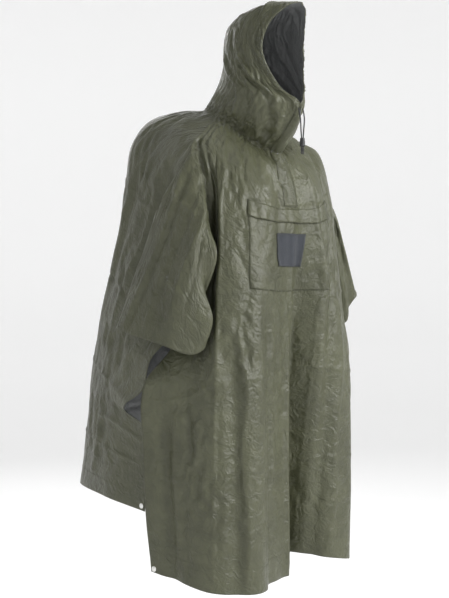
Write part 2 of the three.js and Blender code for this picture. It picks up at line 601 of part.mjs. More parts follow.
add("snap_front_left", snapOn(front, false), SNAP_METAL);
add("snap_back_right", snapOn(back, true), SNAP_METAL);
add("snap_back_left", snapOn(back, false), SNAP_METAL);

// Drawcord: two strands from the casing's ends, through the cord lock and a knot, to free ends.
const CORD_STEPS = 14;
function strand(side) {
  const route = [
    [CORD_EXIT[0], CORD_EXIT[1], CORD_SEAT],
    [CORD_EXIT[0] - 0.6, 42],
    [CORD_APART + 1.6, 14],
    [CORD_APART, LOCK_TOP],
    [CORD_APART, LOCK_TOP - LOCK_LENGTH],
    [CORD_APART, KNOT_Z],
    [CORD_APART, CORD_END],
  ].map(([across, height, y = CORD_Y]) => new THREE.Vector3(side * across, y, height));
  const path = new THREE.CatmullRomCurve3(route, false, "centripetal");
  const turns = Array.from({ length: CORD_SIDES }, (_, k) => (2 * Math.PI * k) / CORD_SIDES);
  const circle = turns.map((turn) => new THREE.Vector2(CORD_RADIUS * Math.cos(turn), CORD_RADIUS * Math.sin(turn)));
  const options = { steps: CORD_STEPS, extrudePath: path, bevelEnabled: false };
  return new THREE.ExtrudeGeometry(new THREE.Shape(circle), options);
}
add("drawcord_right", strand(-1), BLACK_CORD);
add("drawcord_left", strand(1), BLACK_CORD);

const HOLE_RADIUS = CORD_RADIUS + SEAM_GAP;
const HOLE_REACH = 2 * LOCK_LENGTH;
const upright = (geometry) => geometry.rotateX(Math.PI / 2);
function bored(geometry, height) {
  const holes = [-1, 1].map((side) => {
    const hole = upright(new THREE.CylinderGeometry(HOLE_RADIUS, HOLE_RADIUS, HOLE_REACH, 12));
    return solidOf(hole.translate(side * CORD_APART, CORD_Y, height));
  });
  return geometryOf(solidOf(geometry.translate(0, CORD_Y, height)).subtract(wasm.Manifold.union(holes)));
}
const LOCK_BEVEL = 1.4;
const half = LOCK_LENGTH / 2;
const lockOutline = [
  [0, -half],
  [LOCK_RADIUS - LOCK_BEVEL, -half],
  [LOCK_RADIUS, LOCK_BEVEL - half],
  [LOCK_RADIUS, half - LOCK_BEVEL],
  [LOCK_RADIUS - LOCK_BEVEL, half],
  [0, half],
].map(([radius, height]) => new THREE.Vector2(radius, height));
add("cord_lock", bored(upright(new THREE.LatheGeometry(lockOutline, 20)), LOCK_TOP - half), BLACK_PLASTIC);
add("cord_knot", bored(new THREE.SphereGeometry(KNOT_RADIUS, 14, 10), KNOT_Z), BLACK_CORD);

export default group;
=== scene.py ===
# %% [markdown]
# A hooded rain poncho, as it hangs on its wearer with room for a rucksack behind.
# The real garment is thin coated nylon: two body panels, four sleeve halves and two hood halves.
# Each is drawn here as a grid of points from a few measured rows, creased along listed lines, and then
# let go a little so that the cloth finds its own small crinkles.

# %% The imported frame
import math

import bpy
import numpy as np
from mathutils import Matrix, Vector


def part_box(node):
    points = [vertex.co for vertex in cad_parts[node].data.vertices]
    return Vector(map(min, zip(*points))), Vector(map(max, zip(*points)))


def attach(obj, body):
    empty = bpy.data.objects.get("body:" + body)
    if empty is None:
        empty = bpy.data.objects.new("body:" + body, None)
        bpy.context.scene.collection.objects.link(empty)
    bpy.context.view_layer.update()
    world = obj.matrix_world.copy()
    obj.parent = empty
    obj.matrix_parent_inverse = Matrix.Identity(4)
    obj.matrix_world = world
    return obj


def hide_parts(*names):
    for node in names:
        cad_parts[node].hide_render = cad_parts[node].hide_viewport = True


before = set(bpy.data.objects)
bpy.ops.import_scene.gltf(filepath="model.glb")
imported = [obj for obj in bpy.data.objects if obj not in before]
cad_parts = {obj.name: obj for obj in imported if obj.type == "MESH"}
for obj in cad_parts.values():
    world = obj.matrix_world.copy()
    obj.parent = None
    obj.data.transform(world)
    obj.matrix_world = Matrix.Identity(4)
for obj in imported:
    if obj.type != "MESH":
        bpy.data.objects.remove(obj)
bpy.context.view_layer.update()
scene = bpy.context.scene
MM = 0.001
print("nodes", len(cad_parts))

# %% [markdown]
# The camera stands level at the wearer's right front. A long lens keeps the cloth's lines
# straight, as in a studio photograph, so it stands three metres away.

# %% Camera
CAMERA_PLACE = (-2.026, -2.3207, -0.38)
CAMERA_TURN = math.radians(-40)
camera_data = bpy.data.cameras.new("camera")
camera_data.lens = 75.67
camera_data.sensor_width = 36
camera = bpy.data.objects.new("camera", camera_data)
camera.location = CAMERA_PLACE
camera.rotation_euler = (math.pi / 2, 0, CAMERA_TURN)
scene.collection.objects.link(camera)
scene.camera = camera
print("camera at", CAMERA_PLACE)

# %% [markdown]
# Shader maths reads best as plain sums. A small class wraps a socket, so that adding or
# multiplying two of them adds the Math node that does it.

# %% Sockets that can be added and multiplied
class Wire:
    def __init__(self, shader, socket):
        self.shader = shader
        self.socket = socket

    def _maths(self, operation, first, second):
        return self.shader.add("ShaderNodeMath", {"operation": operation}, {0: first, 1: second})

    def __add__(self, other):
        return self._maths("ADD", self, other)

    def __radd__(self, other):
        return self._maths("ADD", other, self)

    def __sub__(self, other):
        return self._maths("SUBTRACT", self, other)

    def __rsub__(self, other):
        return self._maths("SUBTRACT", other, self)

    def __mul__(self, other):
        return self._maths("MULTIPLY", self, other)

    def __rmul__(self, other):
        return self._maths("MULTIPLY", other, self)

    def __abs__(self):
        return self._maths("ABSOLUTE", self, 0)


class Shader:
    """A material with one Principled shader, and the one way to add any other node."""

    def __init__(self, name, **uniform):
        self.material = bpy.data.materials.new(name)
        self.material.use_nodes = True
        self.tree = self.material.node_tree
        self.principled = self.tree.nodes["Principled BSDF"]
        for socket, value in uniform.items():
            self.principled.inputs[socket.replace("_", " ")].default_value = value

    def add(self, kind, settings=None, sockets=None, output=0):
        node = self.tree.nodes.new(kind)
        for key, value in (settings or {}).items():
            if key == "stops":
                ramp = node.color_ramp
                for k, (place, shade) in enumerate(value):
                    stop = ramp.elements[k] if k < 2 else ramp.elements.new(place)
                    stop.position = place
                    stop.color = (shade, shade, shade, 1)
            else:
                setattr(node, key, value)
        for key, value in (sockets or {}).items():
            self.plug(node.inputs[key], value)
        return Wire(self, node.outputs[output])

    def plug(self, socket, value):
        if isinstance(value, Wire):
            self.tree.links.new(value.socket, socket)
        else:
            socket.default_value = value

    def feed(self, **values):
        for socket, value in values.items():
            self.plug(self.principled.inputs[socket.replace("_", " ")], value)

    def bump(self, height, distance, strength=1.0):
        self.feed(Normal=self.add("ShaderNodeBump", None, {"Height": height, "Distance": distance, "Strength": strength}))


def noise(shader, place, scale, detail=3.0, distortion=0.0):
    sockets = {"Vector": place, "Scale": scale, "Detail": detail, "Distortion": distortion}
    return shader.add("ShaderNodeTexNoise", None, sockets)


def mixed(shader, factor, dark, light):
    sockets = {"Factor": factor, 6: (*dark, 1), 7: (*light, 1)}
    return shader.add("ShaderNodeMix", {"data_type": "RGBA"}, sockets, 2)


# %% [markdown]
# Coated nylon has three scales of detail: slow changes of tone where it was packed and pressed,
# fine crinkles a centimetre or two across, and its plain weave. The pattern lies in the cloth's
# own coordinates, which are kept in the UV map in metres, so it doesn't stretch over the folds.
# Crinkles are ridged: the noise is folded at its middle, which gives creases and not dimples.

# %% Cloth finishes
def cloth_finish(name, dark, light, roughness, crinkle, weave=0.00006):
    shader = Shader(name, Specular_IOR_Level=0.42, Sheen_Weight=0.06, Sheen_Roughness=0.4)
    place = shader.add("ShaderNodeUVMap", {"uv_map": "cloth"})
    tone = noise(shader, place, 5.0, 4.0) * 0.6 + noise(shader, place, 38.0, 3.0) * 0.4
    spread_tone = shader.add("ShaderNodeMapRange", None, {"Value": tone, "From Min": 0.35, "From Max": 0.65})
    shader.feed(Base_Color=mixed(shader, spread_tone, dark, light))
    broad = abs(noise(shader, place, 34.0, 2.0, 0.6) - 0.5)
    fine = abs(noise(shader, place, 95.0, 2.0, 0.4) - 0.5)
    warp = shader.add("ShaderNodeTexWave", {"bands_direction": "X"}, {"Vector": place, "Scale": 420.0})
    weft = shader.add("ShaderNodeTexWave", {"bands_direction": "Y"}, {"Vector": place, "Scale": 420.0})
    height = broad * (-crinkle) + fine * (-0.35 * crinkle) + (warp + weft) * weave
    shader.bump(height, 1.0)
    shader.feed(Roughness=roughness + noise(shader, place, 22.0) * 0.16)
    return shader.material


OUTER = cloth_finish("coated_nylon", (0.038, 0.04, 0.02), (0.064, 0.067, 0.036), 0.27, 0.0065)
INNER = cloth_finish("grey_coating", (0.13, 0.135, 0.135), (0.18, 0.185, 0.185), 0.42, 0.005)
TRIM = cloth_finish("nylon_trim", (0.037, 0.039, 0.02), (0.062, 0.065, 0.035), 0.28, 0.0055)
PATCH = cloth_finish("slate_patch", (0.022, 0.026, 0.033), (0.034, 0.039, 0.049), 0.55, 0.002, 0.0003)
print("cloth finishes", [m.name for m in (OUTER, INNER, TRIM, PATCH)])

# %% [markdown]
# The hardware is small, so its finishes are simple: brushed bright metal, moulded black plastic
# with a fine grain, a braid of crossing diagonal strands, and sewing thread.

# %% Hardware finishes
def hardware_finish(name, dark, light, scale, depth, roughness, metallic=0.0):
    shader = Shader(name, Metallic=metallic)
    place = shader.add("ShaderNodeTexCoord", output=3)
    grain = noise(shader, place, scale, 4.0)
    shader.feed(Base_Color=mixed(shader, grain, dark, light), Roughness=roughness + grain * 0.2)
    shader.bump(grain, depth)
    return shader.material


def braid_finish():
    shader = Shader("braided_cord")
    place = shader.add("ShaderNodeTexCoord", output=3)
    turned_one = shader.add("ShaderNodeMapping", None, {"Vector": place, "Rotation": (0.0, 0.7, 0.0)})
    turned_two = shader.add("ShaderNodeMapping", None, {"Vector": place, "Rotation": (0.0, -0.7, 0.0)})
    strands = [
        shader.add("ShaderNodeTexWave", {"bands_direction": "Z"}, {"Vector": way, "Scale": 330.0})
        for way in (turned_one, turned_two)
    ]
    weave = strands[0] * strands[1]
    shader.feed(Base_Color=mixed(shader, weave, (0.006, 0.0062, 0.007), (0.03, 0.031, 0.034)))
    shader.feed(Roughness=0.6 + weave * 0.2)
    shader.bump(weave, 0.0004)
    return shader.material


METAL = hardware_finish("snap_metal", (0.62, 0.62, 0.6), (0.8, 0.8, 0.78), 900.0, 0.00003, 0.2, 1.0)
PLASTIC = hardware_finish("black_plastic", (0.006, 0.0065, 0.007), (0.012, 0.0125, 0.014), 1400.0, 0.00005, 0.3)
THREAD = hardware_finish("sewing_thread", (0.036, 0.038, 0.02), (0.06, 0.062, 0.035), 2500.0, 0.00005, 0.6)
CORD = braid_finish()
print("hardware finishes", [m.name for m in (METAL, PLASTIC, THREAD, CORD)])

# %% [markdown]
# The garment is measured in millimetres from the base of the neck. Each table names the lines
# that run down a panel, and each of its rows gives one height on the cloth and where those lines
# are there. A smooth curve through a row or a column gives every point between.

# %% Sizes
HEM, SHOULDER, UNDERARM, FRONT_LENGTH = 55, 110, 400, 1010
PLACKET_BOTTOM, FLAP_TOP, POCKET_TOP, FLAP_BOTTOM = 138, 144, 152, 176
PATCH_TOP, PATCH_BOTTOM, POCKET_BOTTOM = 202, 280, 338
BACK_UNDERARM, BACK_LENGTH = 470, 1045
PLACKET_HALF, PATCH_HALF, POCKET_HALF, FULL_HALF = 22, 57, 150, 330
CHIN, CUFF_HEM, HOOD_TURN = 0.36, 0.9, -4
FRONT_CELL, BACK_CELL = 9, 11


def table(columns, rows):
    return {name: [row[i] for row in rows] for i, name in enumerate(columns)}


FRONT_RIGHT = table(
  ["down", "side", "valley", "ridge", "lobe", "centre"],
  [
    [0, [-88, 9, 62], [-80, -16, 48], [-64, -41, 18], [-38, -72, -13], [0, -104, -32]],
    [55, [-140, -2, 20], [-132, -30, 8], [-118, -56, -8], [-66, -112, -50], [0, -128, -82]],
    [SHOULDER, [-190, -14, -28], [-172, -52, -44], [-156, -86, -72], [-92, -149, -118], [0, -144, -135]],
    [170, [-191, -52, -92], [-167, -74, -122], [-179, -106, -158], [-106, -163, -190], [0, -151, -194]],
    [250, [-190, -72, -190], [-162, -70, -214], [-190, -120, -244], [-113, -171, -270], [0, -152, -274]],
    [330, [-198, -64, -300], [-164, -64, -314], [-197, -121, -334], [-119, -177, -351], [0, -149, -354]],
    [UNDERARM, [-212, -30, -415], [-176, -66, -412], [-202, -124, -414], [-122, -180, -420], [0, -147, -424]],
    [480, [-240, 6, -500], [-208, -74, -496], [-208, -127, -498], [-126, -183, -502], [0, -143, -504]],
    [560, [-297, 28, -578], [-238, -62, -582], [-213, -128, -586], [-131, -187, -586], [0, -139, -584]],
    [700, [-300, 30, -718], [-256, -62, -722], [-222, -130, -728], [-136, -191, -728], [0, -135, -724]],
    [850, [-297, 24, -864], [-266, -62, -872], [-231, -134, -878], [-140, -195, -878], [0, -137, -874]],
    [FRONT_LENGTH, [-290, 11, -1009], [-272, -66, -1022], [-236, -146, -1040], [-142, -199, -1045], [0, -140, -1035]],
  ],
)

FRONT_LEFT = table(
  ["down", "dip", "lobe", "ridge", "turn", "side"],
  [
    [0, [14, -98, -29], [34, -76, -16], [62, -43, 16], [78, -18, 46], [88, 9, 62]],
    [55, [24, -124, -76], [60, -112, -50], [112, -66, -6], [132, -34, 14], [140, -2, 22]],
    [SHOULDER, [30, -143, -132], [86, -144, -114], [152, -94, -56], [180, -56, -16], [192, -12, -20]],
    [170, [34, -146, -194], [99, -153, -188], [173, -111, -146], [190, -74, -96], [193, -44, -84]],
    [250, [34, -137, -273], [105, -158, -269], [179, -118, -238], [190, -88, -202], [194, -62, -186]],
    [330, [36, -123, -352], [108, -160, -350], [185, -127, -332], [196, -92, -308], [200, -58, -298]],
    [UNDERARM, [36, -112, -414], [110, -160, -408], [192, -130, -410], [212, -92, -412], [212, -30, -415]],
    [480, [38, -102, -490], [110, -158, -488], [196, -140, -490], [232, -100, -490], [236, 4, -495]],
    [560, [40, -94, -566], [108, -154, -566], [198, -144, -570], [236, -102, -572], [262, 14, -574]],
    [700, [44, -82, -700], [106, -148, -704], [200, -148, -712], [240, -102, -714], [270, 20, -714]],
    [850, [50, -72, -846], [104, -142, -852], [200, -150, -864], [240, -104, -866], [272, 22, -862]],
    [FRONT_LENGTH, [56, -64, -998], [108, -136, -1004], [198, -152, -1018], [238, -106, -1021], [272, 26, -1006]],
  ],
)

BACK = table(
  ["down", "side", "flank", "corner", "centre"],
  [
    [0, [-88, 9, 62], [-74, 72, 82], [-46, 112, 90], [0, 138, 90]],
    [55, [-140, -2, 20], [-128, 102, 58], [-86, 186, 90], [0, 204, 96]],
    [SHOULDER, [-190, -14, -28], [-166, 130, 20], [-130, 240, 66], [0, 262, 84]],
    [170, [-191, 38, -98], [-188, 160, -46], [-160, 267, 8], [0, 290, 38]],
    [250, [-194, 74, -190], [-205, 178, -138], [-172, 273, -82], [0, 299, -42]],
    [350, [-204, 66, -305], [-222, 188, -252], [-184, 294, -190], [0, 314, -150]],
    [BACK_UNDERARM, [-212, -30, -415], [-240, 184, -375], [-193, 322, -310], [0, 336, -268]],
    [570, [-270, 38, -517], [-256, 196, -470], [-198, 345, -412], [0, 356, -366]],
    [645, [-290, 47, -591], [-268, 206, -545], [-201, 360, -488], [0, 370, -440]],
    [695, [-304, 102, -637], [-274, 212, -594], [-203, 372, -538], [0, 380, -490]],
    [735, [-286, 50, -673], [-277, 212, -633], [-205, 374, -580], [0, 384, -530]],
    [850, [-274, 52, -752], [-280, 218, -718], [-209, 382, -682], [0, 398, -645]],
    [BACK_LENGTH, [-269, 66, -880], [-288, 205, -858], [-222, 404, -846], [0, 440, -840]],
  ],
)

HOOD = table(
  ["rise", "rim", "cheek", "side", "nape", "seam"],
  [
    [0, [0, -104, -32], [-50, -58, 2], [-88, 9, 62], [-50, 108, 88], [0, 138, 90]],
    [0.18, [0, -162, 20], [-66, -86, 48], [-87, -6, 90], [-52, 84, 112], [0, 112, 120]],
    [CHIN, [0, -186, 72], [-66, -118, 98], [-83, -34, 126], [-50, 56, 148], [0, 88, 162]],
    [0.52, [-40, -151, 122], [-76, -102, 146], [-83, -42, 168], [-52, 36, 190], [0, 70, 206]],
    [0.68, [-65, -126, 200], [-80, -90, 212], [-80, -38, 228], [-52, 32, 240], [0, 64, 246]],
    [0.82, [-57, -140, 262], [-68, -98, 276], [-66, -44, 285], [-44, 20, 284], [0, 46, 288]],
    [0.92, [-29, -172, 302], [-40, -132, 312], [-40, -84, 315], [-26, -28, 313], [0, 4, 314]],
    [1, [0, -190, 313], [0, -162, 319], [0, -132, 323], [0, -96, 323], [0, -60, 319]],
  ],
)

FRONT_FOLDS = table(
  ["across", "leans", "from", "to", "half", "height"],
  [
    [-200, -10, 420, 1010, 22, -9],
    [-92, 10, 330, 1010, 26, -12],
    [-40, -8, 40, 300, 16, -5],
    [150, 16, 90, 560, 18, -10],
    [168, 10, 480, 1010, 24, -10],
    [300, 12, 560, 1010, 22, -9],
    [-380, 8, 600, 1010, 22, -10],
  ],
)

BACK_FOLDS = table(
  ["across", "leans", "from", "to", "half", "height"],
  [
    [-262, -12, 150, 560, 22, -9],
    [-205, -16, 260, 1045, 26, -12],
    [-95, -22, 240, 1045, 32, -15],
    [18, 8, 300, 1045, 34, 12],
    [112, 18, 240, 1045, 32, -15],
    [214, 12, 260, 1045, 26, -12],
    [268, 10, 150, 560, 22, -9],
  ],
)

SLEEVE_RIGHT = {
  "over": [[-190, -14, -28], [-224, 6, -100], [-252, 24, -190], [-290, 56, -320], [-330, 90, -450]],
  "foreHigh": [[-190, -64, -125], [-222, -92, -180], [-254, -88, -262], [-284, -72, -374], [-308, -50, -484]],
  "foreMid": [[-190, -72, -190], [-222, -116, -236], [-246, -112, -306], [-262, -110, -410], [-262, -98, -506]],
  "foreLow": [[-196, -68, -280], [-216, -132, -300], [-230, -106, -356], [-226, -134, -425], [-228, -112, -486]],
  "under": [[-212, -30, -415], [-220, -40, -430], [-222, -48, -438], [-222, -56, -446], [-218, -62, -450]],
  "aftLow": [[-205, 64, -310], [-226, 60, -345], [-236, 48, -380], [-244, 36, -412], [-244, 22, -440]],
  "aftHigh": [[-193, 70, -170], [-226, 84, -212], [-254, 86, -275], [-276, 86, -360], [-292, 82, -446]],
}

SLEEVE_LEFT = {
  "over": [[192, -12, -20], [226, 8, -90], [254, 22, -168], [286, 42, -268], [312, 60, -370]],
  "foreHigh": [[194, -58, -122], [216, -80, -165], [242, -78, -230], [272, -70, -302], [301, -64, -366]],
  "foreMid": [[194, -64, -186], [216, -84, -226], [240, -84, -280], [262, -82, -344], [276, -74, -400]],
  "foreLow": [[198, -62, -275], [216, -86, -302], [232, -86, -344], [248, -84, -398], [260, -76, -438]],
  "under": [[212, -30, -415], [224, -33, -424], [228, -38, -434], [230, -42, -442], [230, -46, -446]],
  "aftLow": [[205, 64, -310], [226, 58, -340], [240, 48, -374], [252, 38, -408], [258, 28, -436]],
  "aftHigh": [[193, 70, -170], [228, 80, -206], [256, 82, -258], [280, 78, -330], [298, 72, -400]],
}
SLEEVE_ALONG = [0, 0.22, 0.46, 0.74, 1]
SLEEVE_AROUND = [0, 0.15, 0.24, 0.35, 0.5, 0.66, 0.84]
HOOD_AROUND = [0, 0.25, 0.5, 0.78, 1]
print("rows on the front", len(FRONT_RIGHT["down"]), "and on the back", len(BACK["down"]))

# %% [markdown]
# A curve through points that passes each one, with its slope there taken from its neighbours,
# needs no handles, so a row of measured places is enough to draw it.

# %% Curves through measured places
def through(knots, values, at):
    knots, values = np.asarray(knots, float), np.asarray(values, float)
    at = np.atleast_1d(np.asarray(at, float))
    last = len(knots) - 1
    i = np.searchsorted(knots[1:last], at, side="left")
    before = np.maximum(np.arange(last + 1) - 1, 0)
    after = np.minimum(np.arange(last + 1) + 1, last)
    slopes = (values[after] - values[before]) / (knots[after] - knots[before])[:, None]
    span = (knots[i + 1] - knots[i])[:, None]
    t = (at[:, None] - knots[i][:, None]) / span
    rise = t * t * (3 - 2 * t)
    lead = slopes[i] * span * t * (1 - t) ** 2
    trail = slopes[i + 1] * span * t * t * (1 - t)
    return values[i] * (1 - rise) + values[i + 1] * rise + lead - trail


def ease(t):
    t = np.clip(t, 0, 1)
    return t * t * (3 - 2 * t)


def spread(places, counts):
    cuts = [np.linspace(a, b, n, endpoint=False) for a, b, n in zip(places, places[1:], counts)]
    return np.concatenate([*cuts, [places[-1]]])


def counts_for(places, cell):
    return [max(1, round((b - a) / cell)) for a, b in zip(places, places[1:])]


def lengths_along(points):
    return np.concatenate([[0], np.cumsum(np.linalg.norm(np.diff(points, axis=0), axis=1))])


# %% [markdown]
# Half a row runs from the middle of the panel to its side edge. Its columns are spaced by length
# along the cloth, so that a pocket or a placket keeps its breadth over every fold.

# %% Rows of the body panels
ROW_SAMPLES = 48
FRONT_COUNTS = [3, 4, 10, 12, 10, 9]
BACK_COUNTS = [20, 19, 13]


def half_row(points):
    points = np.asarray(points, float)
    knots = lengths_along(points)
    all_knots = np.concatenate([[-knots[1]], knots])
    all_points = np.vstack([points[1] * [-1, 1, 1], points])
    samples = np.linspace(0, knots[-1], ROW_SAMPLES + 1)
    lengths = lengths_along(through(all_knots, all_points, samples))
    at_length = lambda length: through(all_knots, all_points, np.interp(length, lengths, samples))
    return lengths[-1], np.interp(knots, samples, lengths), at_length


def front_half(lines, ridge, down):
    total, to_knot, at_length = half_row([through(FRONT_RIGHT["down"], line, down)[0] for line in lines])
    room = min(total, FULL_HALF) - PLACKET_HALF
    marks = [PLACKET_HALF + room * (b - PLACKET_HALF) / (FULL_HALF - PLACKET_HALF) for b in (PATCH_HALF, POCKET_HALF)]
    lengths = spread([0, PLACKET_HALF, *marks, to_knot[ridge], to_knot[ridge + 1], total], FRONT_COUNTS)
    return lengths, at_length(lengths)


def back_half(lines, down):
    total, to_knot, at_length = half_row([through(BACK["down"], line, down)[0] for line in lines])
    lengths = spread([0, to_knot[1], to_knot[2], total], BACK_COUNTS)
    return lengths, at_length(lengths)


def whole_row(right, left):
    return np.concatenate([-right[0][::-1], left[0][1:]]), np.vstack([right[1][::-1], left[1][1:]])


def other_side(line):
    return [[-x, y, z] for x, y, z in line]


front_right = [FRONT_RIGHT[name] for name in ("centre", "lobe", "ridge", "valley", "side")]
front_left = [FRONT_RIGHT["centre"], *(FRONT_LEFT[name] for name in ("dip", "lobe", "ridge", "turn", "side"))]
back_right = [BACK[name] for name in ("centre", "corner", "flank", "side")]
back_left = [other_side(line) for line in back_right]

# %% [markdown]
# Every piece of cloth is a grid. It knows its points, the cloth's own coordinates across and
# down, which side is out, and which of its points are sewn to a neighbour and so stay in place.

# %% A piece of cloth
def halved(values, axis):
    """Puts a point between each two, on a smooth curve through their neighbours."""
    a = np.moveaxis(np.asarray(values, float), axis, 0)
    longer = np.concatenate([[2 * a[0] - a[1]], a, [2 * a[-1] - a[-2]]])
    between = (9 * (longer[1:-2] + longer[2:-1]) - longer[:-3] - longer[3:]) / 16
    made = np.empty((2 * len(a) - 1, *a.shape[1:]))
    made[::2], made[1::2] = a, between
    return np.moveaxis(made, 0, axis)


class Cloth:
    def __init__(self, points, across, down, outward, sewn):
        self.points, self.across, self.down = points, across, down
        self.outward, self.sewn = outward, sewn

    def normals(self):
        wide = np.pad(self.points, ((1, 1), (1, 1), (0, 0)), mode="edge")
        sides = wide[1:-1, 2:] - wide[1:-1, :-2]
        lengths = wide[2:, 1:-1] - wide[:-2, 1:-1]
        outwards = np.cross(sides, lengths) * self.outward
        return outwards / np.maximum(np.linalg.norm(outwards, axis=2, keepdims=True), 1e-9)

    def raised(self, height):
        moved = self.points + self.normals() * (np.zeros_like(self.across) + height)[..., None]
        return Cloth(moved, self.across, self.down, self.outward, self.sewn)

    def finer(self):
        grids = [halved(halved(grid, 0), 1) for grid in (self.points, self.across, self.down)]
        sewn = halved(halved(self.sewn, 0), 1) > 0.99
        return Cloth(*grids, self.outward, sewn)

    def part(self, rows, columns):
        cut = lambda grid: grid[rows, columns].copy()
        return Cloth(cut(self.points), cut(self.across), cut(self.down), self.outward, cut(self.sewn))

    def area(self):
        p = self.points
        halves = np.cross(p[1:, 1:] - p[:-1, :-1], p[1:, :-1] - p[:-1, 1:])
        return np.linalg.norm(halves, axis=2).sum() / 2

    def breadth(self):
        return np.linalg.norm(np.diff(self.points, axis=1), axis=2).sum(1).mean()

    def length(self):
        return np.linalg.norm(np.diff(self.points, axis=0), axis=2).sum(0).max()


# %% [markdown]
# The largest folds are the CAD model's own. Each is a line down the panel with its own half
# breadth and height, and no two are alike. They fade out at seams.

# %% Body panels with their largest folds
def fold_depth(folds, across, down):
    depth = np.zeros_like(across)
    for line, lean, start, end, half, height in zip(*folds.values()):
        crease = line + lean * (down - start) / (end - start)
        fade = ease((down - start) / 110) * (1 if end >= FRONT_LENGTH else ease((end - down) / 110))
        depth += height * fade * np.exp(-(((across - crease) / half) ** 2))
    return depth


def body_panel(row_at, downs, folds, underarm, outward):
    rows = [row_at(down) for down in downs]
    across = np.array([row[0] for row in rows])
    down = np.asarray(downs)[:, None] + np.zeros_like(across)
    sewn = np.zeros(across.shape, bool)
    sewn[0] = True
    sewn[down[:, 0] <= underarm, 0] = True
    sewn[down[:, 0] <= underarm, -1] = True
    cloth = Cloth(np.array([row[1] for row in rows]), across, down, outward, sewn)
    edge = np.where(across < 0, across[:, :1], across[:, -1:])
    held = np.where(down <= underarm, ease(np.abs(edge - across) / 45), 1)
    return cloth.raised(fold_depth(folds, across, down) * held * ease(down / 60))


YOKE_ROWS = 12
pocket_rows = [PLACKET_BOTTOM, FLAP_TOP, POCKET_TOP, FLAP_BOTTOM, PATCH_TOP, PATCH_BOTTOM, POCKET_BOTTOM]
front_places = [0, SHOULDER, *pocket_rows, UNDERARM, FRONT_LENGTH - HEM, FRONT_LENGTH]
back_places = [0, SHOULDER, BACK_UNDERARM, 570, 645, 695, 735, BACK_LENGTH - HEM, BACK_LENGTH]
front_downs = spread(front_places, [YOKE_ROWS, *counts_for(front_places[1:], FRONT_CELL)])
back_downs = spread(back_places, [YOKE_ROWS, *counts_for(back_places[1:], BACK_CELL)])
front = body_panel(
    lambda down: whole_row(front_half(front_right, 2, down), front_half(front_left, 3, down)),
    front_downs, FRONT_FOLDS, UNDERARM, -1,
)
back = body_panel(
    lambda down: whole_row(back_half(back_right, down), back_half(back_left, down)),
    back_downs, BACK_FOLDS, BACK_UNDERARM, 1,
)
front_underarm = int(np.argmin(abs(front_downs - UNDERARM)))
back_underarm = int(np.argmin(abs(back_downs - BACK_UNDERARM)))
for column in (0, -1):
    back.points[: YOKE_ROWS + 1, column] = front.points[: YOKE_ROWS + 1, column]
    back.points[back_underarm, column] = front.points[front_underarm, column]
print("front grid", front.points.shape[:2], "back grid", back.points.shape[:2])

# %% [markdown]
# A sleeve half starts on the body panel's own armhole edge and ends at the cuff, so no gap can
# open at the armhole. Seven lines along the sleeve give its section, which isn't round: the
# cloth hangs from the arm and is deeper than it is wide.

# %% Sleeves
SLEEVE_CELL = 0.022
sleeve_alongs = spread([0, CUFF_HEM, 1], counts_for([0, CUFF_HEM, 1], SLEEVE_CELL))


def grid_lengths(points):
    steps_across = np.linalg.norm(np.diff(points, axis=1), axis=2)
    steps_down = np.linalg.norm(np.diff(points, axis=0), axis=2)
    across = np.hstack([np.zeros((len(points), 1)), np.cumsum(steps_across, axis=1)])
    down = np.vstack([np.zeros((1, points.shape[1])), np.cumsum(steps_down, axis=0)])
    return across, down


def sleeve_half(lines, edge, start, end, outward):
    names = list(lines)
    order = [*names[-2:], *names, *names[:2]]
    knots = [k - 1 for k in SLEEVE_AROUND[-2:]] + SLEEVE_AROUND + [k + 1 for k in SLEEVE_AROUND[:2]]
    arounds = np.linspace(start, end, len(edge))
    ring = lambda along: through(knots, [through(SLEEVE_ALONG, lines[n], along)[0] for n in order], arounds)
    held = edge - ring(0)
    points = np.array([ring(along) + held * (1 - along) ** 2 for along in sleeve_alongs])
    sewn = np.zeros(points.shape[:2], bool)
    sewn[0] = sewn[:, 0] = sewn[:, -1] = True
    return Cloth(points, *grid_lengths(points), outward, sewn)


right_fore = front.points[YOKE_ROWS : front_underarm + 1, 0]
right_aft = back.points[YOKE_ROWS : back_underarm + 1, 0]
left_fore = front.points[YOKE_ROWS : front_underarm + 1, -1]
left_aft = back.points[YOKE_ROWS : back_underarm + 1, -1]
pieces = {
    "front_panel": front,
    "back_panel": back,
    "sleeve_right_fore": sleeve_half(SLEEVE_RIGHT, right_fore, 0, 0.5, -1),
    "sleeve_right_aft": sleeve_half(SLEEVE_RIGHT, right_aft, 1, 0.5, 1),
    "sleeve_left_fore": sleeve_half(SLEEVE_LEFT, left_fore, 0, 0.5, 1),
    "sleeve_left_aft": sleeve_half(SLEEVE_LEFT, left_aft, 1, 0.5, -1),
}
print("sleeve grids", [pieces[name].points.shape[:2] for name in list(pieces)[2:]])

# %% [markdown]
# Each hood half starts on the neckline and closes at the seam over the head. Its first column is
# the face opening, which is joined below the chin.

# %% Hood
HOOD_CELL = 0.022
hood_rises = spread([0, CHIN, 1], counts_for([0, CHIN, 1], HOOD_CELL))
LEAST_BREADTH = 0.5


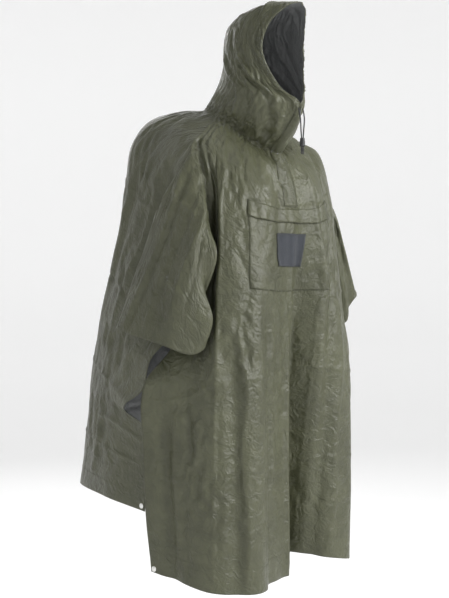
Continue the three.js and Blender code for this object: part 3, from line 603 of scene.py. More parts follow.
def hood_half(side, outward):
    def from_middle(row):
        middle = (len(row) - 1) // 2
        return row[: middle + 1][::-1] if side < 0 else row[middle:]

    fore, aft = from_middle(front.points[0]), from_middle(back.points[0])[::-1]
    neckline = np.vstack([fore, aft[1:]])
    arounds = spread([0, 0.5, 1], [len(fore) - 1, len(aft) - 1])
    lines = [HOOD[name] for name in ("rim", "cheek", "side", "nape", "seam")]

    def ring(rise):
        row = through(HOOD_AROUND, [through(HOOD["rise"], line, rise)[0] for line in lines], arounds)
        return row * [-side, 1, 1]

    held = neckline - ring(0)
    rows = [neckline]
    for rise in hood_rises[1:]:
        row = ring(rise) + held * (1 - rise) ** 3
        in_middle = (arounds == 1) | (rise == 1) | ((arounds == 0) & (rise <= CHIN + 1e-9))
        breadth = np.where(in_middle, 0, np.maximum(side * row[:, 0], LEAST_BREADTH))
        row[:, 0] = side * breadth + HOOD_TURN * ease((rise - CHIN) / (1 - CHIN))
        rows.append(row)
    points = np.array(rows)
    sewn = np.zeros(points.shape[:2], bool)
    sewn[0] = sewn[-1] = sewn[:, -1] = True
    sewn[hood_rises <= CHIN + 1e-9, 0] = True
    return Cloth(points, *grid_lengths(points), outward, sewn)


pieces["hood_right"] = hood_half(-1, -1)
pieces["hood_left"] = hood_half(1, 1)
print("hood grids", pieces["hood_right"].points.shape[:2])

# %% [markdown]
# Real creases are listed one by one: each is a line on the cloth with its own half breadth and
# height, up for a ridge and down for a valley. Packed cloth keeps the sharp lines along which it
# was folded, and hanging cloth has short slanted creases where it is pulled.

# %% Listed creases
FRONT_CREASES = table(
    ["height", "half", "line"],
    [
        [3.0, 6, [(-150, 20), (-166, 46), (-206, 160), (-213, 237), (-226, 356), (-233, 454), (-252, 642), (-266, 1000)]],
        [-7.0, 8, [(-250, 60), (-272, 120), (-300, 200), (-320, 300)]],
        [-6.0, 7, [(-232, 70), (-250, 120), (-270, 190), (-284, 270)]],
        [4.0, 6, [(-242, 80), (-262, 140), (-284, 215)]],
        [-5.0, 7, [(-202, 84), (-230, 130), (-256, 200), (-262, 280)]],
        [5.0, 9, [(-68, 44), (-53, 64), (-35, 76), (-20, 96), (-7, 112)]],
        [-6.0, 7, [(-48, 50), (-34, 66), (-18, 84), (0, 104)]],
        [-5.0, 6, [(-37, 98), (-31, 130), (-24, 158)]],
        [-3.5, 6, [(-10, 350), (4, 450), (10, 560), (17, 700), (17, 1005)]],
        [3.5, 9, [(-14, 350), (-8, 450), (-4, 560), (0, 700), (2, 1005)]],
        [4.5, 8, [(70, 60), (76, 129), (84, 176), (92, 205), (112, 270), (128, 335)]],
        [-5.0, 8, [(84, 100), (92, 150), (102, 200), (124, 260), (142, 330)]],
        [-6.0, 12, [(200, 60), (172, 92), (150, 112), (160, 150), (170, 200)]],
        [2.6, 5, [(133, 306), (150, 286), (176, 276)]],
        [2.6, 5, [(133, 306), (112, 292), (96, 288)]],
        [-2.6, 5, [(133, 306), (136, 276), (130, 250)]],
        [2.2, 5, [(133, 306), (152, 322), (178, 330)]],
        [1.6, 4, [(-400, 372), (-330, 362), (-219, 354), (-160, 350)]],
        [1.6, 4, [(152, 350), (214, 354), (270, 362)]],
        [1.9, 4, [(-420, 600), (-333, 588), (-235, 543), (-150, 536), (7, 534), (120, 538), (231, 543), (290, 548)]],
        [1.9, 4, [(-420, 770), (-269, 767), (-242, 749), (-159, 740), (94, 768), (229, 752), (290, 750)]],
        [-1.6, 4, [(-118, 350), (-121, 560), (-126, 780), (-128, 1000)]],
        [1.6, 4, [(118, 350), (122, 600), (126, 1000)]],
        [-3.5, 9, [(-178, 250), (-150, 330), (-172, 420), (-160, 520)]],
        [3.0, 8, [(-96, 360), (-70, 450), (-88, 560), (-60, 690), (-72, 820)]],
        [-3.0, 8, [(-70, 380), (-48, 470), (-60, 600), (-40, 740)]],
        [3.2, 8, [(-186, 420), (-170, 560), (-190, 700), (-178, 860), (-190, 1005)]],
        [2.4, 6, [(-150, 640), (-90, 660), (-30, 650)]],
        [-2.4, 6, [(-190, 880), (-130, 860), (-60, 884)]],
        [3.0, 8, [(200, 380), (214, 520), (206, 700), (220, 880), (216, 1005)]],
        [-3.4, 9, [(60, 400), (72, 540), (64, 700), (78, 860), (74, 1005)]],
        [-3.0, 8, [(-300, 440), (-322, 560), (-312, 700), (-330, 860), (-326, 1005)]],
        [2.8, 7, [(-350, 620), (-362, 760), (-352, 900), (-366, 1005)]],
        [2.2, 6, [(-120, 140), (-60, 126), (0, 134), (60, 128), (120, 140)]],
    ],
)
BACK_CREASES = table(
    ["height", "half", "line"],
    [
        [2.2, 5, [(-560, 252), (-300, 246), (0, 240), (300, 246), (560, 252)]],
        [-2.2, 5, [(-560, 470), (-300, 462), (0, 455), (300, 462), (560, 470)]],
        [2.2, 5, [(-560, 680), (-300, 674), (0, 668), (300, 674), (560, 680)]],
        [2.0, 5, [(-560, 880), (-300, 874), (0, 868), (300, 874), (560, 880)]],
        [2.2, 5, [(0, 60), (2, 400), (-2, 700), (0, 1040)]],
        [-2.0, 5, [(-282, 100), (-290, 400), (-300, 700), (-306, 1040)]],
        [-2.0, 5, [(282, 100), (290, 400), (300, 700), (306, 1040)]],
        [4.0, 9, [(-353, 786), (-420, 772), (-483, 779), (-563, 800)]],
        [-5.0, 11, [(-400, 160), (-420, 300), (-396, 460), (-430, 640)]],
        [5.0, 12, [(-350, 140), (-362, 320), (-340, 520), (-372, 760), (-360, 1000)]],
        [-4.5, 10, [(-60, 110), (-150, 200), (-170, 330), (-150, 520)]],
        [4.5, 10, [(40, 120), (96, 240), (80, 420), (104, 640), (90, 900)]],
        [-4.5, 10, [(60, 100), (150, 190), (182, 330), (160, 560)]],
        [-4.2, 10, [(400, 170), (416, 330), (398, 500), (424, 700)]],
        [4.8, 12, [(352, 140), (360, 340), (344, 560), (366, 800), (358, 1000)]],
        [3.5, 8, [(-120, 560), (-60, 640), (-84, 780), (-50, 960)]],
        [-3.5, 9, [(150, 620), (190, 740), (170, 880), (196, 1030)]],
    ],
)
HOOD_CREASES = table(
    ["height", "half", "line"],
    [
        [4.0, 8, [(26, 24), (40, 70), (62, 120), (84, 180), (92, 230)]],
        [-4.5, 8, [(44, 20), (60, 66), (84, 112), (108, 168), (116, 226)]],
        [3.2, 8, [(70, 14), (92, 60), (118, 104), (140, 150)]],
        [-4.0, 9, [(118, 10), (126, 60), (150, 110), (164, 170)]],
        [4.5, 9, [(150, 4), (158, 50), (176, 100), (180, 160)]],
        [-3.2, 7, [(18, 60), (34, 104), (36, 150), (24, 190)]],
        [-4.2, 7, [(30, 300), (62, 318), (96, 316), (130, 300)]],
        [3.6, 7, [(20, 322), (52, 336), (86, 334), (120, 316)]],
        [2.6, 6, [(90, 250), (120, 262), (150, 256)]],
        [-3.0, 7, [(60, 210), (96, 226), (140, 216), (180, 190)]],
    ],
)
SLEEVE_CREASES = table(
    ["height", "half", "line"],
    [
        [-5.0, 9, [(36, 30), (42, 150), (38, 290), (34, 430)]],
        [3.2, 7, [(20, 60), (26, 180), (22, 320), (18, 440)]],
        [2.8, 6, [(4, 96), (44, 104), (88, 96), (130, 110)]],
        [-3.6, 9, [(80, 20), (96, 130), (88, 250), (100, 380)]],
        [3.4, 9, [(130, 20), (140, 120), (134, 240), (142, 360)]],
        [-3.0, 8, [(170, 10), (160, 90), (176, 180), (168, 300)]],
        [2.4, 6, [(10, 262), (60, 256), (120, 270), (170, 262)]],
        [-2.6, 7, [(50, 330), (110, 346), (160, 330)]],
        [3.0, 8, [(60, 180), (84, 230), (70, 300), (88, 400)]],
    ],
)
LINE_FADE = 26


def crease_height(creases, across, down):
    """The height of all creases at each point of a cloth grid."""
    total = np.zeros_like(across)
    place = np.stack([across, down], axis=-1)
    for height, half, line in zip(*creases.values()):
        marks = lengths_along(np.array(line, float))
        path = through(marks, line, np.linspace(0, marks[-1], 4 * len(line)))
        lengths = lengths_along(path)
        nearest = np.full(across.shape, np.inf)
        along = np.zeros_like(across)
        for k, (a, b) in enumerate(zip(path, path[1:])):
            step = b - a
            t = np.clip(((place - a) @ step) / (step @ step), 0, 1)
            off = np.linalg.norm(place - (a + t[..., None] * step), axis=-1)
            closer = off < nearest
            nearest = np.where(closer, off, nearest)
            along = np.where(closer, lengths[k] + t * (lengths[k + 1] - lengths[k]), along)
        fade = ease(along / LINE_FADE) * ease((lengths[-1] - along) / LINE_FADE)
        total += height * fade * np.exp(-((nearest / half) ** 1.5))
    return total


print("creases", sum(len(c["line"]) for c in (FRONT_CREASES, BACK_CREASES, HOOD_CREASES, SLEEVE_CREASES)))

# %% [markdown]
# The small crinkles can't be drawn one by one. Cloth that is a few hundredths too long for its
# place buckles, so each grid is given that slack and its threads are moved to their length again
# and again. Threads push and pull, a stiffer thread over two cells sets how wide a crinkle is,
# and a weak pull to the drawn form keeps the garment's shape. Sewn points stay where they are.

# %% Letting the cloth crinkle
def blobs(shape, passes, seed):
    field = np.random.default_rng(seed).standard_normal(shape)
    for _ in range(passes):
        for axis in (0, 1):
            field = (np.roll(field, 1, axis) + 2 * field + np.roll(field, -1, axis)) / 4
    return field / field.std()


def two_ends(grid, down, across):
    rows, columns = grid.shape[:2]
    if across >= 0:
        return grid[: rows - down, : columns - across], grid[down:, across:]
    return grid[: rows - down, -across:], grid[down:, : columns + across]


def settled(cloth, slack_across, slack_down, ruffle, passes, hold, stiffness, seed):
    base = cloth.points
    points = cloth.raised(blobs(base.shape[:2], 4, seed) * ruffle).points
    points[cloth.sewn] = base[cloth.sewn]
    both = (slack_across + slack_down) / 2
    threads = [
        (0, 1, slack_across, 1.0, False),
        (1, 0, slack_down, 1.0, False),
        (1, 1, both, 0.3, False),
        (1, -1, both, 0.3, False),
        (0, 2, slack_across, stiffness, True),
        (2, 0, slack_down, stiffness, True),
    ]
    rests = []
    for down, across, slack, _, _ in threads:
        a, b = two_ends(base, down, across)
        ease_a, ease_b = two_ends(slack + np.zeros(base.shape[:2]), down, across)
        rests.append(np.linalg.norm(b - a, axis=2) * (1 + (ease_a + ease_b) / 2))
    for _ in range(passes):
        for (down, across, _, strength, only_push), rest in zip(threads, rests):
            a, b = two_ends(points, down, across)
            way = b - a
            length = np.maximum(np.linalg.norm(way, axis=2), 1e-6)
            share = 0.5 * strength * (length - rest) / length
            if only_push:
                share = np.minimum(share, 0)
            move = way * share[..., None]
            a += move
            b -= move
        points += hold * (base - points)
        points[cloth.sewn] = base[cloth.sewn]
    return Cloth(points, cloth.across, cloth.down, cloth.outward, cloth.sewn)


def gathers(cloth, distance, place, pitch, height, reach, seed):
    """Small waves that run away from a gathered edge and die out."""
    wander = blobs(distance.shape, 6, seed) * 0.9
    waves = np.sin(2 * math.pi * place / pitch + wander)
    return height * waves * np.exp(-distance / reach) * ease(distance / 5)


made = {}
CREASES = {
    "front_panel": FRONT_CREASES,
    "back_panel": BACK_CREASES,
    "hood_right": HOOD_CREASES,
    "hood_left": HOOD_CREASES,
}
LOOSE = {"front_panel": 1.0, "back_panel": 0.7, "hood_right": 1.4, "hood_left": 1.4}
SLEEVE_LOOSE, CALM_REACH = 0.85, 130


def patchy_slack(name, cloth, seed):
    """Crinkled patches with smooth cloth between them, and none at a turned hem, which is stiff."""
    patches = 0.3 + 0.9 * ease((blobs(cloth.down.shape, 26, seed + 50) + 0.7) / 1.6)
    if name.startswith("hood"):
        return LOOSE[name] * patches
    above_hem = cloth.down[-1:] - cloth.down
    calm = 0.12 + 0.88 * ease((above_hem - HEM / 2) / CALM_REACH)
    return LOOSE.get(name, SLEEVE_LOOSE) * patches * calm


for seed, (name, cloth) in enumerate(pieces.items()):
    creases = CREASES.get(name, SLEEVE_CREASES)
    loose = patchy_slack(name, cloth, seed)
    rough = settled(cloth, 0.03 * loose, 0.011 * loose, 1.6 * loose, 150, 0.009, 0.3, seed)
    rough.points[cloth.sewn] = cloth.points[cloth.sewn]
    fine = rough.finer()
    height = crease_height(creases, fine.across, fine.down)
    if name == "front_panel":
        height += gathers(fine, fine.down, fine.across, 15, 2.4, 34, 31)
    if name.startswith("hood"):
        rise = fine.down / np.maximum(fine.down[-1:], 1)
        opened = ease((rise - CHIN) / 0.08)
        height += opened * gathers(fine, fine.across, fine.down, 15, 2.6, 26, 32)
        height += (1 - opened) * gathers(fine, fine.down, fine.across, 17, 2.2, 30, 33)
        height += opened * 1.5 * ease(fine.across / 3) * ease((20 - fine.across) / 4)
    sewn_fade = np.where(fine.sewn, 0.0, 1.0)
    shaped = fine.raised(height * sewn_fade)
    shaped.points[fine.sewn] = fine.points[fine.sewn]
    loose = patchy_slack(name, shaped, seed + 7)
    made[name] = settled(shaped, 0.012 * loose, 0.008 * loose, 0.3, 40, 0.02, 0.12, seed + 100)
    moved = np.linalg.norm(made[name].points - fine.points, axis=2)
    print(name, "moved", round(float(moved.mean()), 2), "mm on average, at most", round(float(moved.max()), 1))

# %% [markdown]
# A grid becomes a thin closed shell: its outer face, an inner face a little further in, and a rim
# round the border. The cloth is far thinner than the CAD wall, and doubled at a turned hem.

# %% Shells from grids
CLOTH_THICK, HEM_THICK = 0.5, 1.5


def shell(name, cloth, finishes, thick=CLOTH_THICK):
    rows, columns = cloth.points.shape[:2]
    thickness = (np.zeros(cloth.across.shape) + thick)[..., None]
    inner = cloth.points - cloth.normals() * thickness
    corners = np.vstack([cloth.points.reshape(-1, 3), inner.reshape(-1, 3)]) * MM
    at = np.arange(rows * columns).reshape(rows, columns)
    top = np.stack([at[:-1, :-1], at[:-1, 1:], at[1:, 1:], at[1:, :-1]], axis=-1).reshape(-1, 4)
    under = top[:, ::-1] + rows * columns
    border = np.concatenate([at[0], at[1:, -1], at[-1, -2::-1], at[-2::-1, 0]])
    a, b = border[:-1], border[1:]
    rim = np.stack([b, a, a + rows * columns, b + rows * columns], axis=-1)
    faces = np.vstack([top, under, rim])
    if cloth.outward < 0:
        faces = faces[:, ::-1]
    mesh = bpy.data.meshes.new(name)
    mesh.from_pydata(corners.tolist(), [], faces.tolist())
    for finish in finishes:
        mesh.materials.append(finish)
    kinds = np.concatenate([np.zeros(len(top)), np.full(len(under), len(finishes) - 1), np.zeros(len(rim))])
    mesh.polygons.foreach_set("material_index", kinds.astype(np.int32))
    mesh.polygons.foreach_set("use_smooth", np.ones(len(faces), bool))
    uv = np.stack([cloth.across, -cloth.down], axis=-1).reshape(-1, 2) * MM
    uv = np.vstack([uv, uv])[faces.ravel()]
    mesh.uv_layers.new(name="cloth").data.foreach_set("uv", uv.ravel())
    mesh.update()
    piece = bpy.data.objects.new(name, mesh)
    scene.collection.objects.link(piece)
    return piece


def declare(piece, cloth, node, rests_on):
    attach(piece, "root")
    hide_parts(node)
    flat = (cloth.breadth() * MM, cloth.length() * MM)
    area = min(cloth.area() * MM * MM, flat[0] * flat[1])
    print(node, "flat", [round(x, 3) for x in flat], "area", round(area, 3), "faces", len(piece.data.polygons))


for name, cloth in made.items():
    hem = np.zeros_like(cloth.down)
    if name == "front_panel":
        hem = cloth.down >= FRONT_LENGTH - HEM
    elif name == "back_panel":
        hem = cloth.down >= BACK_LENGTH - HEM
    elif name.startswith("sleeve"):
        hem = (np.arange(len(cloth.down)) >= CUFF_HEM * (len(cloth.down) - 1))[:, None] + np.zeros_like(hem)
    piece = shell(f"{name}_cloth", cloth, [OUTER, INNER], np.where(hem > 0, HEM_THICK, CLOTH_THICK))
    declare(piece, cloth, name, ["front_panel"] if name != "front_panel" else ["back_panel"])

# %% [markdown]
# What is sewn on the front lies on the front's own points, moved out, so it follows every fold.
# The flap's lower edge stands away from the pocket, which leaves the dark line of its opening.

# %% Pocket, flap, patch and placket
front_made = made["front_panel"]
middle = (front_made.points.shape[1] - 1) // 2
line_at = 2 * np.cumsum(FRONT_COUNTS)
PLACKET_LINE, PATCH_LINE, POCKET_LINE = (int(line_at[k]) for k in (0, 1, 2))


def row_of(down):
    return int(np.argmin(abs(front_made.down[:, middle] - down)))


def on_front(top, bottom, line):
    return front_made.part(slice(row_of(top), row_of(bottom) + 1), slice(middle - line, middle + line + 1))


pocket = on_front(POCKET_TOP, POCKET_BOTTOM, POCKET_LINE)
pocket = pocket.raised(0.8 + 0.2 * blobs(pocket.across.shape, 5, 41))
patch = on_front(PATCH_TOP, PATCH_BOTTOM, PATCH_LINE)
patch = patch.raised(2.5)
flap = on_front(FLAP_TOP, FLAP_BOTTOM, POCKET_LINE)
lower = ease((flap.down - FLAP_TOP) / (FLAP_BOTTOM - FLAP_TOP))
flap = flap.raised(1.8 + lower * (2.6 + 0.7 * blobs(flap.across.shape, 12, 42)))


def placket_cloth():
    right, left = made["hood_right"], made["hood_left"]
    chin_row = 2 * int(np.argmin(abs(hood_rises - CHIN)))
    cut = slice(0, PLACKET_LINE + 1)
    throat = lambda grid_right, grid_left: np.hstack([grid_right[:, cut][:, ::-1], grid_left[:, cut][:, 1:]])
    points = throat(right.points, left.points)[chin_row:0:-1]
    below = on_front(0, PLACKET_BOTTOM, PLACKET_LINE)
    across = np.vstack([np.tile(below.across[:1], (len(points), 1)), below.across])
    points = np.vstack([points, below.points])
    down = grid_lengths(points)[1]
    return Cloth(points, across, down, -1, np.zeros(across.shape, bool))


placket = placket_cloth().raised(1.2)
sewn_on = {
    "chest_pocket": (pocket, [TRIM, INNER], "olive_cloth"),
    "pocket_flap": (flap, [TRIM, INNER], "olive_cloth"),
    "chest_patch": (patch, [PATCH, PATCH], "slate_patch"),
    "front_placket": (placket, [TRIM, INNER], "olive_cloth"),
}
for name, (cloth, finishes, slot) in sewn_on.items():
    declare(shell(f"{name}_cloth", cloth, finishes, 0.6), cloth, name, ["front_panel"])

# %% [markdown]
# Each long seam is felled: its edges are folded into a narrow strip that stands a little proud
# and puckers, because the thread is tighter than the cloth. The strip follows the seam line and
# takes its breadth from the cloth on both sides.

# %% Felled seams
SEAM_HALF, SEAM_HEIGHT = 5.0, 1.1


def seam_strip(line, side_a, side_b, outward, pucker, seed):
    """A strip over a seam: its line, and the next points of the cloth on either side of it."""
    line = np.asarray(line)
    for _ in range(2):
        line, side_a, side_b = (halved(x, 0) for x in (line, side_a, side_b))
    unit = lambda way: way / np.maximum(np.linalg.norm(way, axis=1, keepdims=True), 1e-6)
    to_a, to_b = unit(side_a - line), unit(side_b - line)
    run = lengths_along(line)
    waves = np.sin(2 * math.pi * run / 11 + 1.6 * blobs((len(run), 1), 9, seed)[:, 0])
    out = unit(np.cross(to_b - to_a, np.gradient(line, axis=0))) * outward
    shares = [(1.0, 0.0, 0.25), (0.55, 0.0, 0.9), (0.0, 0.0, 1.0), (0.0, 0.55, 0.9), (0.0, 1.0, 0.25)]
    columns = []
    for share_a, share_b, lift in shares:
        high = SEAM_HEIGHT * lift + pucker * lift * waves
        columns.append(line + to_a * (SEAM_HALF * share_a) + to_b * (SEAM_HALF * share_b) + out * high[:, None])
    points = np.stack(columns, axis=1)
    across = np.tile([-SEAM_HALF, -SEAM_HALF / 2, 0, SEAM_HALF / 2, SEAM_HALF], (len(run), 1))
    return Cloth(points, across, run[:, None] + np.zeros_like(across), outward, np.zeros(across.shape, bool))


def armhole(name, edge, rows):
    body = made[edge[0]].points[rows]
    column, inside = edge[1], (1 if edge[1] == 0 else -2)
    return body[:, column], body[:, inside], made[name].points[1]


fine_yoke = 2 * YOKE_ROWS
strips = {}
for side, column in (("right", 0), ("left", -1)):
    inside = 1 if column == 0 else -2
    sign = 1 if column == 0 else -1
    fore, aft = made[f"sleeve_{side}_fore"].points, made[f"sleeve_{side}_aft"].points
    front_side, back_side = made["front_panel"].points, made["back_panel"].points
    shoulder = slice(0, fine_yoke + 1)
    strips[f"shoulder_seam_{side}"] = (
        front_side[shoulder, column], front_side[shoulder, inside], back_side[shoulder, inside], -sign, 0.35,
    )
    strips[f"overarm_seam_{side}"] = (fore[:, 0], fore[:, 1], aft[:, 1], -sign, 0.8)
    fore_rows = slice(fine_yoke, 2 * front_underarm + 1)
    aft_rows = slice(fine_yoke, 2 * back_underarm + 1)
    strips[f"armhole_seam_{side}_fore"] = (
        front_side[fore_rows, column], front_side[fore_rows, inside], fore[1], -sign, 0.4,
    )
    strips[f"armhole_seam_{side}_aft"] = (
        back_side[aft_rows, column], back_side[aft_rows, inside], aft[1], sign, 0.4,
    )
right_hood, left_hood = made["hood_right"].points, made["hood_left"].points
strips["hood_seam"] = (right_hood[:, -1], right_hood[:, -2], left_hood[:, -2], 1, 0.5)
half_ring = right_hood.shape[1]
front_ring = front_made.points[0]
for name, hood, turn in (("neck_seam_right", right_hood, 1), ("neck_seam_left", left_hood, -1)):
    fore = front_made.points[:2, middle::-1] if turn > 0 else front_made.points[:2, middle:]
    back_middle = (made["back_panel"].points.shape[1] - 1) // 2
    aft = made["back_panel"].points[:2, : back_middle + 1] if turn > 0 else made["back_panel"].points[:2, : back_middle - 1 : -1]
    ring = np.hstack([fore, aft[:, 1:]])
    strips[name] = (hood[0], ring[1], hood[1], turn, 0.45)

for seed, (name, (line, side_a, side_b, outward, pucker)) in enumerate(strips.items()):
    strip = seam_strip(line, side_a, side_b, outward, pucker, 60 + seed)
    piece = shell(name, strip, [OUTER, OUTER], 0.5)
    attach(piece, "root")
print("felled seams", len(strips))

# %% [markdown]
# Stitches repeat along every hem and pocket edge, which is what Geometry Nodes are for: a line is
# resampled at the stitch's pitch, and a short thread is set along it at each point.

# %% Stitches with Geometry Nodes
def stitch_tree():
    tree = bpy.data.node_groups.new("stitch_line", "GeometryNodeTree")
    add_input = lambda name, kind: tree.interface.new_socket(name, in_out="INPUT", socket_type=kind)
    add_input("Geometry", "NodeSocketGeometry")
    sizes = {name: add_input(name, "NodeSocketFloat") for name in ("Pitch", "Stitch Length", "Thread Radius")}
    tree.interface.new_socket("Geometry", in_out="OUTPUT", socket_type="NodeSocketGeometry")
    new, link = tree.nodes.new, tree.links.new
    given, result = new("NodeGroupInput"), new("NodeGroupOutput")
    to_curve, resample = new("GeometryNodeMeshToCurve"), new("GeometryNodeResampleCurve")
    resample.mode = "LENGTH"
    thread, spread_out = new("GeometryNodeMeshCylinder"), new("GeometryNodeInstanceOnPoints")
    thread.inputs["Vertices"].default_value = 5
    tangent, turn = new("GeometryNodeInputTangent"), new("FunctionNodeAlignRotationToVector")
    realize, dress = new("GeometryNodeRealizeInstances"), new("GeometryNodeSetMaterial")
    dress.inputs["Material"].default_value = THREAD
    link(given.outputs["Geometry"], to_curve.inputs[0])
    link(to_curve.outputs[0], resample.inputs["Curve"])
    link(given.outputs["Pitch"], resample.inputs["Length"])
    link(given.outputs["Thread Radius"], thread.inputs["Radius"])
    link(given.outputs["Stitch Length"], thread.inputs["Depth"])
    link(resample.outputs[0], spread_out.inputs["Points"])
    link(thread.outputs["Mesh"], spread_out.inputs["Instance"])
    link(tangent.outputs[0], turn.inputs["Vector"])
    link(turn.outputs[0], spread_out.inputs["Rotation"])
    link(spread_out.outputs[0], realize.inputs[0])
    link(realize.outputs[0], dress.inputs["Geometry"])
    link(dress.outputs[0], result.inputs[0])
    return tree, {name: item.identifier for name, item in sizes.items()}


STITCHES, STITCH_INPUTS = stitch_tree()
THREAD_SIZES = {"Pitch": 0.0036, "Stitch Length": 0.0026, "Thread Radius": 0.0003}


def stitched(name, lines):
    corners, edges = [], []
    for line in lines:
        start = len(corners)
        corners.extend((np.asarray(line) * MM).tolist())
        edges.extend((k, k + 1) for k in range(start, len(corners) - 1))
    mesh = bpy.data.meshes.new(f"{name}_lines")
    mesh.from_pydata(corners, edges, [])
    guide = bpy.data.objects.new(f"{name}_guide", mesh)
    scene.collection.objects.link(guide)
    modifier = guide.modifiers.new("stitches", "NODES")
    modifier.node_group = STITCHES
    for size, value in THREAD_SIZES.items():
        modifier[STITCH_INPUTS[size]] = value
    depsgraph = bpy.context.evaluated_depsgraph_get()
    done = bpy.data.meshes.new_from_object(guide.evaluated_get(depsgraph), depsgraph=depsgraph)
    bpy.data.objects.remove(guide)
    piece = bpy.data.objects.new(name, done)
    scene.collection.objects.link(piece)
    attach(piece, "root")
    print(name, len(done.polygons), "faces")


def edge_lines(cloth, inset=2):
    """Lines just inside a sewn-on piece's sides and bottom."""
    points = cloth.raised(0.3).points
    return [points[:, inset], points[:, -1 - inset], points[-1 - inset // 2, :]]


def row_line(cloth, row):
    return cloth.raised(0.3).points[row]


back_made = made["back_panel"]
back_hem_row = int(np.argmin(abs(back_made.down[:, 0] - (BACK_LENGTH - HEM))))
cuff_row = 2 * int(np.argmin(abs(sleeve_alongs - CUFF_HEM)))
stitched("hem_stitches", [row_line(front_made, row_of(FRONT_LENGTH - HEM)), row_line(back_made, back_hem_row)])
stitched("cuff_stitches", [row_line(made[name], cuff_row) for name in made if name.startswith("sleeve")])
stitched("pocket_stitches", [line for cloth in (pocket, flap) for line in edge_lines(cloth, 1)])
stitched("patch_stitches", edge_lines(patch, 1) + [row_line(patch, 1)])
stitched("placket_stitches", [placket.raised(0.3).points[:, k] for k in (1, -2)])


def casing_line(hood):
    start = 2 * int(np.argmin(abs(hood_rises - CHIN)))
    points = hood.raised(0.3).points[start:]
    away = hood.across[start:]
    return [[np.interp(19, away[i], points[i][:, axis]) for axis in range(3)] for i in range(len(points) - 3)]


stitched("casing_stitches", [casing_line(made[name]) for name in ("hood_right", "hood_left")])

# %% [markdown]
# A snap, the cord lock and the knot are turned or wound shapes. A turned shape is a short table
# of radii and heights. The snap faces the way its cloth does.

# %% Snaps, cord lock and knot
def turned_shape(name, profile, sides, finish, place, way=(0, 0, 1)):
    turns = [2 * math.pi * k / sides for k in range(sides)]
    corners = [(r * math.cos(t), r * math.sin(t), z) for r, z in profile for t in turns]
    faces = []
    for ring in range(len(profile) - 1):
        for k in range(sides):
            a, b = ring * sides + k, ring * sides + (k + 1) % sides
            faces.append((a, b, b + sides, a + sides))
    faces.append(tuple(range(sides))[::-1])
    faces.append(tuple(range((len(profile) - 1) * sides, len(profile) * sides)))
    mesh = bpy.data.meshes.new(name)
    mesh.from_pydata(corners, [], faces)
    turn = Vector((0, 0, 1)).rotation_difference(Vector(way)).to_matrix().to_4x4()
    mesh.transform(Matrix.Scale(MM, 4) @ Matrix.Translation(Vector(place)) @ turn)
    mesh.materials.append(finish)
    mesh.polygons.foreach_set("use_smooth", np.ones(len(mesh.polygons), bool))
    piece = bpy.data.objects.new(name, mesh)
    scene.collection.objects.link(piece)
    bevel = piece.modifiers.new("edges", "BEVEL")
    bevel.width, bevel.segments, bevel.limit_method = 0.00025, 2, "ANGLE"
    return piece


SNAP_PROFILE = [(6.4, -0.9), (6.5, 0.3), (6.1, 0.9), (5.4, 1.2), (4.4, 1.1), (3.9, 0.8), (3.4, 1.0), (3.0, 1.7), (2.2, 2.1), (0.6, 2.2)]
for name, cloth in (("front_right", front_made), ("front_left", front_made), ("back_right", back_made), ("back_left", back_made)):
    node = f"snap_{name}"
    low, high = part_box(node)
    centre = np.array((low + high) / 2) / MM
    off = np.linalg.norm(cloth.points - centre, axis=2)
    seat = np.unravel_index(off.argmin(), off.shape)
    way = cloth.normals()[seat]
    piece = turned_shape(f"{node}_stud", SNAP_PROFILE, 28, METAL, cloth.points[seat] + way * 0.3, way)
    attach(piece, "root")
    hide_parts(node)

LOCK_TOP, LOCK_LENGTH, CORD_Y, CORD_APART = -4, 20, -189, 2.7
LOCK_PROFILE = [
    (3.6, -20), (5.4, -19.8), (6.2, -19), (6.4, -17.6), (6.4, -15.2), (5.9, -14.9), (5.9, -14.1), (6.4, -13.8),
    (6.4, -12.2), (5.9, -11.9), (5.9, -11.1), (6.4, -10.8), (6.4, -8.0), (6.2, -7.2), (5.2, -7.0), (5.2, -6.6),
    (5.6, -6.4), (5.7, -1.6), (5.2, -0.5), (4.2, 0), (1.0, 0),
]
lock = turned_shape("cord_lock_barrel", LOCK_PROFILE, 32, PLASTIC, (0, CORD_Y, LOCK_TOP))
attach(lock, "root")
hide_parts("cord_lock")

KNOT_Z, KNOT_TURNS = -31, 3


def wound_line(name, points, radius, finish):
    data = bpy.data.curves.new(name, "CURVE")
    data.dimensions = "3D"
    spline = data.splines.new("POLY")
    spline.points.add(len(points) - 1)
    for point, place in zip(spline.points, points):
        point.co = (*(np.asarray(place) * MM), 1)
    data.bevel_depth = radius * MM
    data.bevel_resolution = 4
    data.use_fill_caps = True
    data.materials.append(finish)
    piece = bpy.data.objects.new(name, data)
    scene.collection.objects.link(piece)
    return piece


angles = np.linspace(0, 2 * math.pi, 61)
loops = np.stack([
    (np.sin(angles) + 1.5 * np.sin(2 * angles)) * 1.3,
    CORD_Y - np.sin(3 * angles) * 1.5,
    KNOT_Z + (np.cos(angles) - 1.5 * np.cos(2 * angles)) * 1.3,
], axis=1)
knot = wound_line("cord_knot_loops", loops, 1.5, CORD)
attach(knot, "root")
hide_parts("cord_knot")
print("lock and knot", lock.name, knot.name)

# %% [markdown]
# The two strands of the drawcord leave the casing under the chin, come together in the lock, pass
# through the knot and end bare just below it. They hang straight, because they are short.

# %% Drawcord
CORD_RADIUS = 1.6
CORD_ROUTE = [(7, -183.5, 66), (6.4, -189, 42), (4.3, -189, 14), (2.7, -189, -4), (2.7, -189, -24), (2.7, -189, -31), (2.7, -189, -42)]
for side, name in ((-1, "drawcord_right"), (1, "drawcord_left")):
    route = np.array(CORD_ROUTE, float) * [side, 1, 1]
    marks = lengths_along(route)
    points = through(marks, route, np.linspace(0, marks[-1], 30))
    strand = wound_line(f"{name}_strand", points, CORD_RADIUS, CORD)
    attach(strand, "root")
    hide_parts(name)
    points[0] * MM

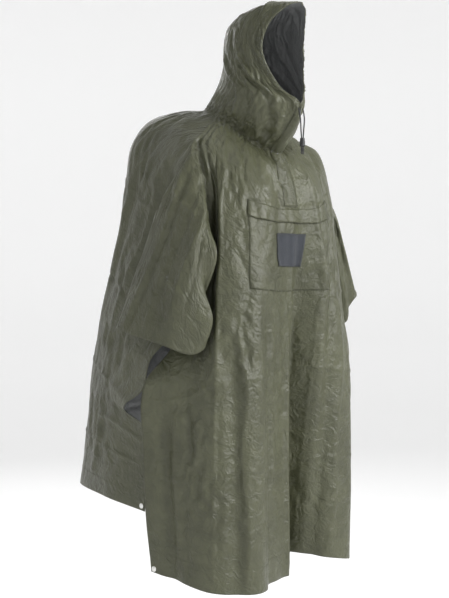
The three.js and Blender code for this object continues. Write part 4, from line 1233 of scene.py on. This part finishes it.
# %% [markdown]
# The set is plain: a pale floor that curves up all round, so that no horizon shows, a large soft
# light at the wearer's front, a weaker one at the camera's left, and light from above.

# %% Floor and lights
FLOOR_Z, FLOOR_RADIUS, WALL_HEIGHT = -1.42, 9.0, 7.0


def pale_floor():
    profile = [(0.02, 0), (3, 0), (6, 0), (7.2, 0.15), (8.2, 0.7), (8.8, 1.7), (9, 3), (9, WALL_HEIGHT)]
    sides = 96
    corners = [
        (r * math.cos(2 * math.pi * k / sides), r * math.sin(2 * math.pi * k / sides), FLOOR_Z + z)
        for r, z in profile for k in range(sides)
    ]
    faces = [
        (ring * sides + k, ring * sides + (k + 1) % sides, (ring + 1) * sides + (k + 1) % sides, (ring + 1) * sides + k)
        for ring in range(len(profile) - 1) for k in range(sides)
    ]
    mesh = bpy.data.meshes.new("pale_floor")
    mesh.from_pydata(corners, [], [face[::-1] for face in faces])
    mesh.polygons.foreach_set("use_smooth", np.ones(len(faces), bool))
    shader = Shader("pale_floor", Roughness=0.9)
    shader.principled.inputs["Base Color"].default_value = (0.86, 0.86, 0.86, 1)
    shader.principled.inputs["Emission Color"].default_value = (1, 1, 1, 1)
    shader.principled.inputs["Emission Strength"].default_value = 0.2
    mesh.materials.append(shader.material)
    floor = bpy.data.objects.new("pale_floor", mesh)
    scene.collection.objects.link(floor)


pale_floor()
AIM = Vector((0, 0.05, -0.35))


def soft_light(name, place, size, power):
    data = bpy.data.lights.new(name, "AREA")
    data.shape, data.size, data.energy = "SQUARE", size, power
    light = bpy.data.objects.new(name, data)
    light.location = place
    light.rotation_euler = (AIM - Vector(place)).to_track_quat("-Z", "Y").to_euler()
    scene.collection.objects.link(light)


soft_light("front_light", (0.9, -3.4, 1.3), 1.4, 190)
soft_light("side_light", (-3.9, -1.6, 0.7), 1.3, 22)
soft_light("top_light", (0.4, -0.4, 3.2), 1.8, 40)
soft_light("rim_light", (1.6, 3.6, 1.4), 1.8, 25)
world = bpy.data.worlds.new("studio")
world.use_nodes = True
world.node_tree.nodes["Background"].inputs["Color"].default_value = (1, 1, 1, 1)
world.node_tree.nodes["Background"].inputs["Strength"].default_value = 0.4
scene.world = world
scene.view_settings.view_transform = "Standard"
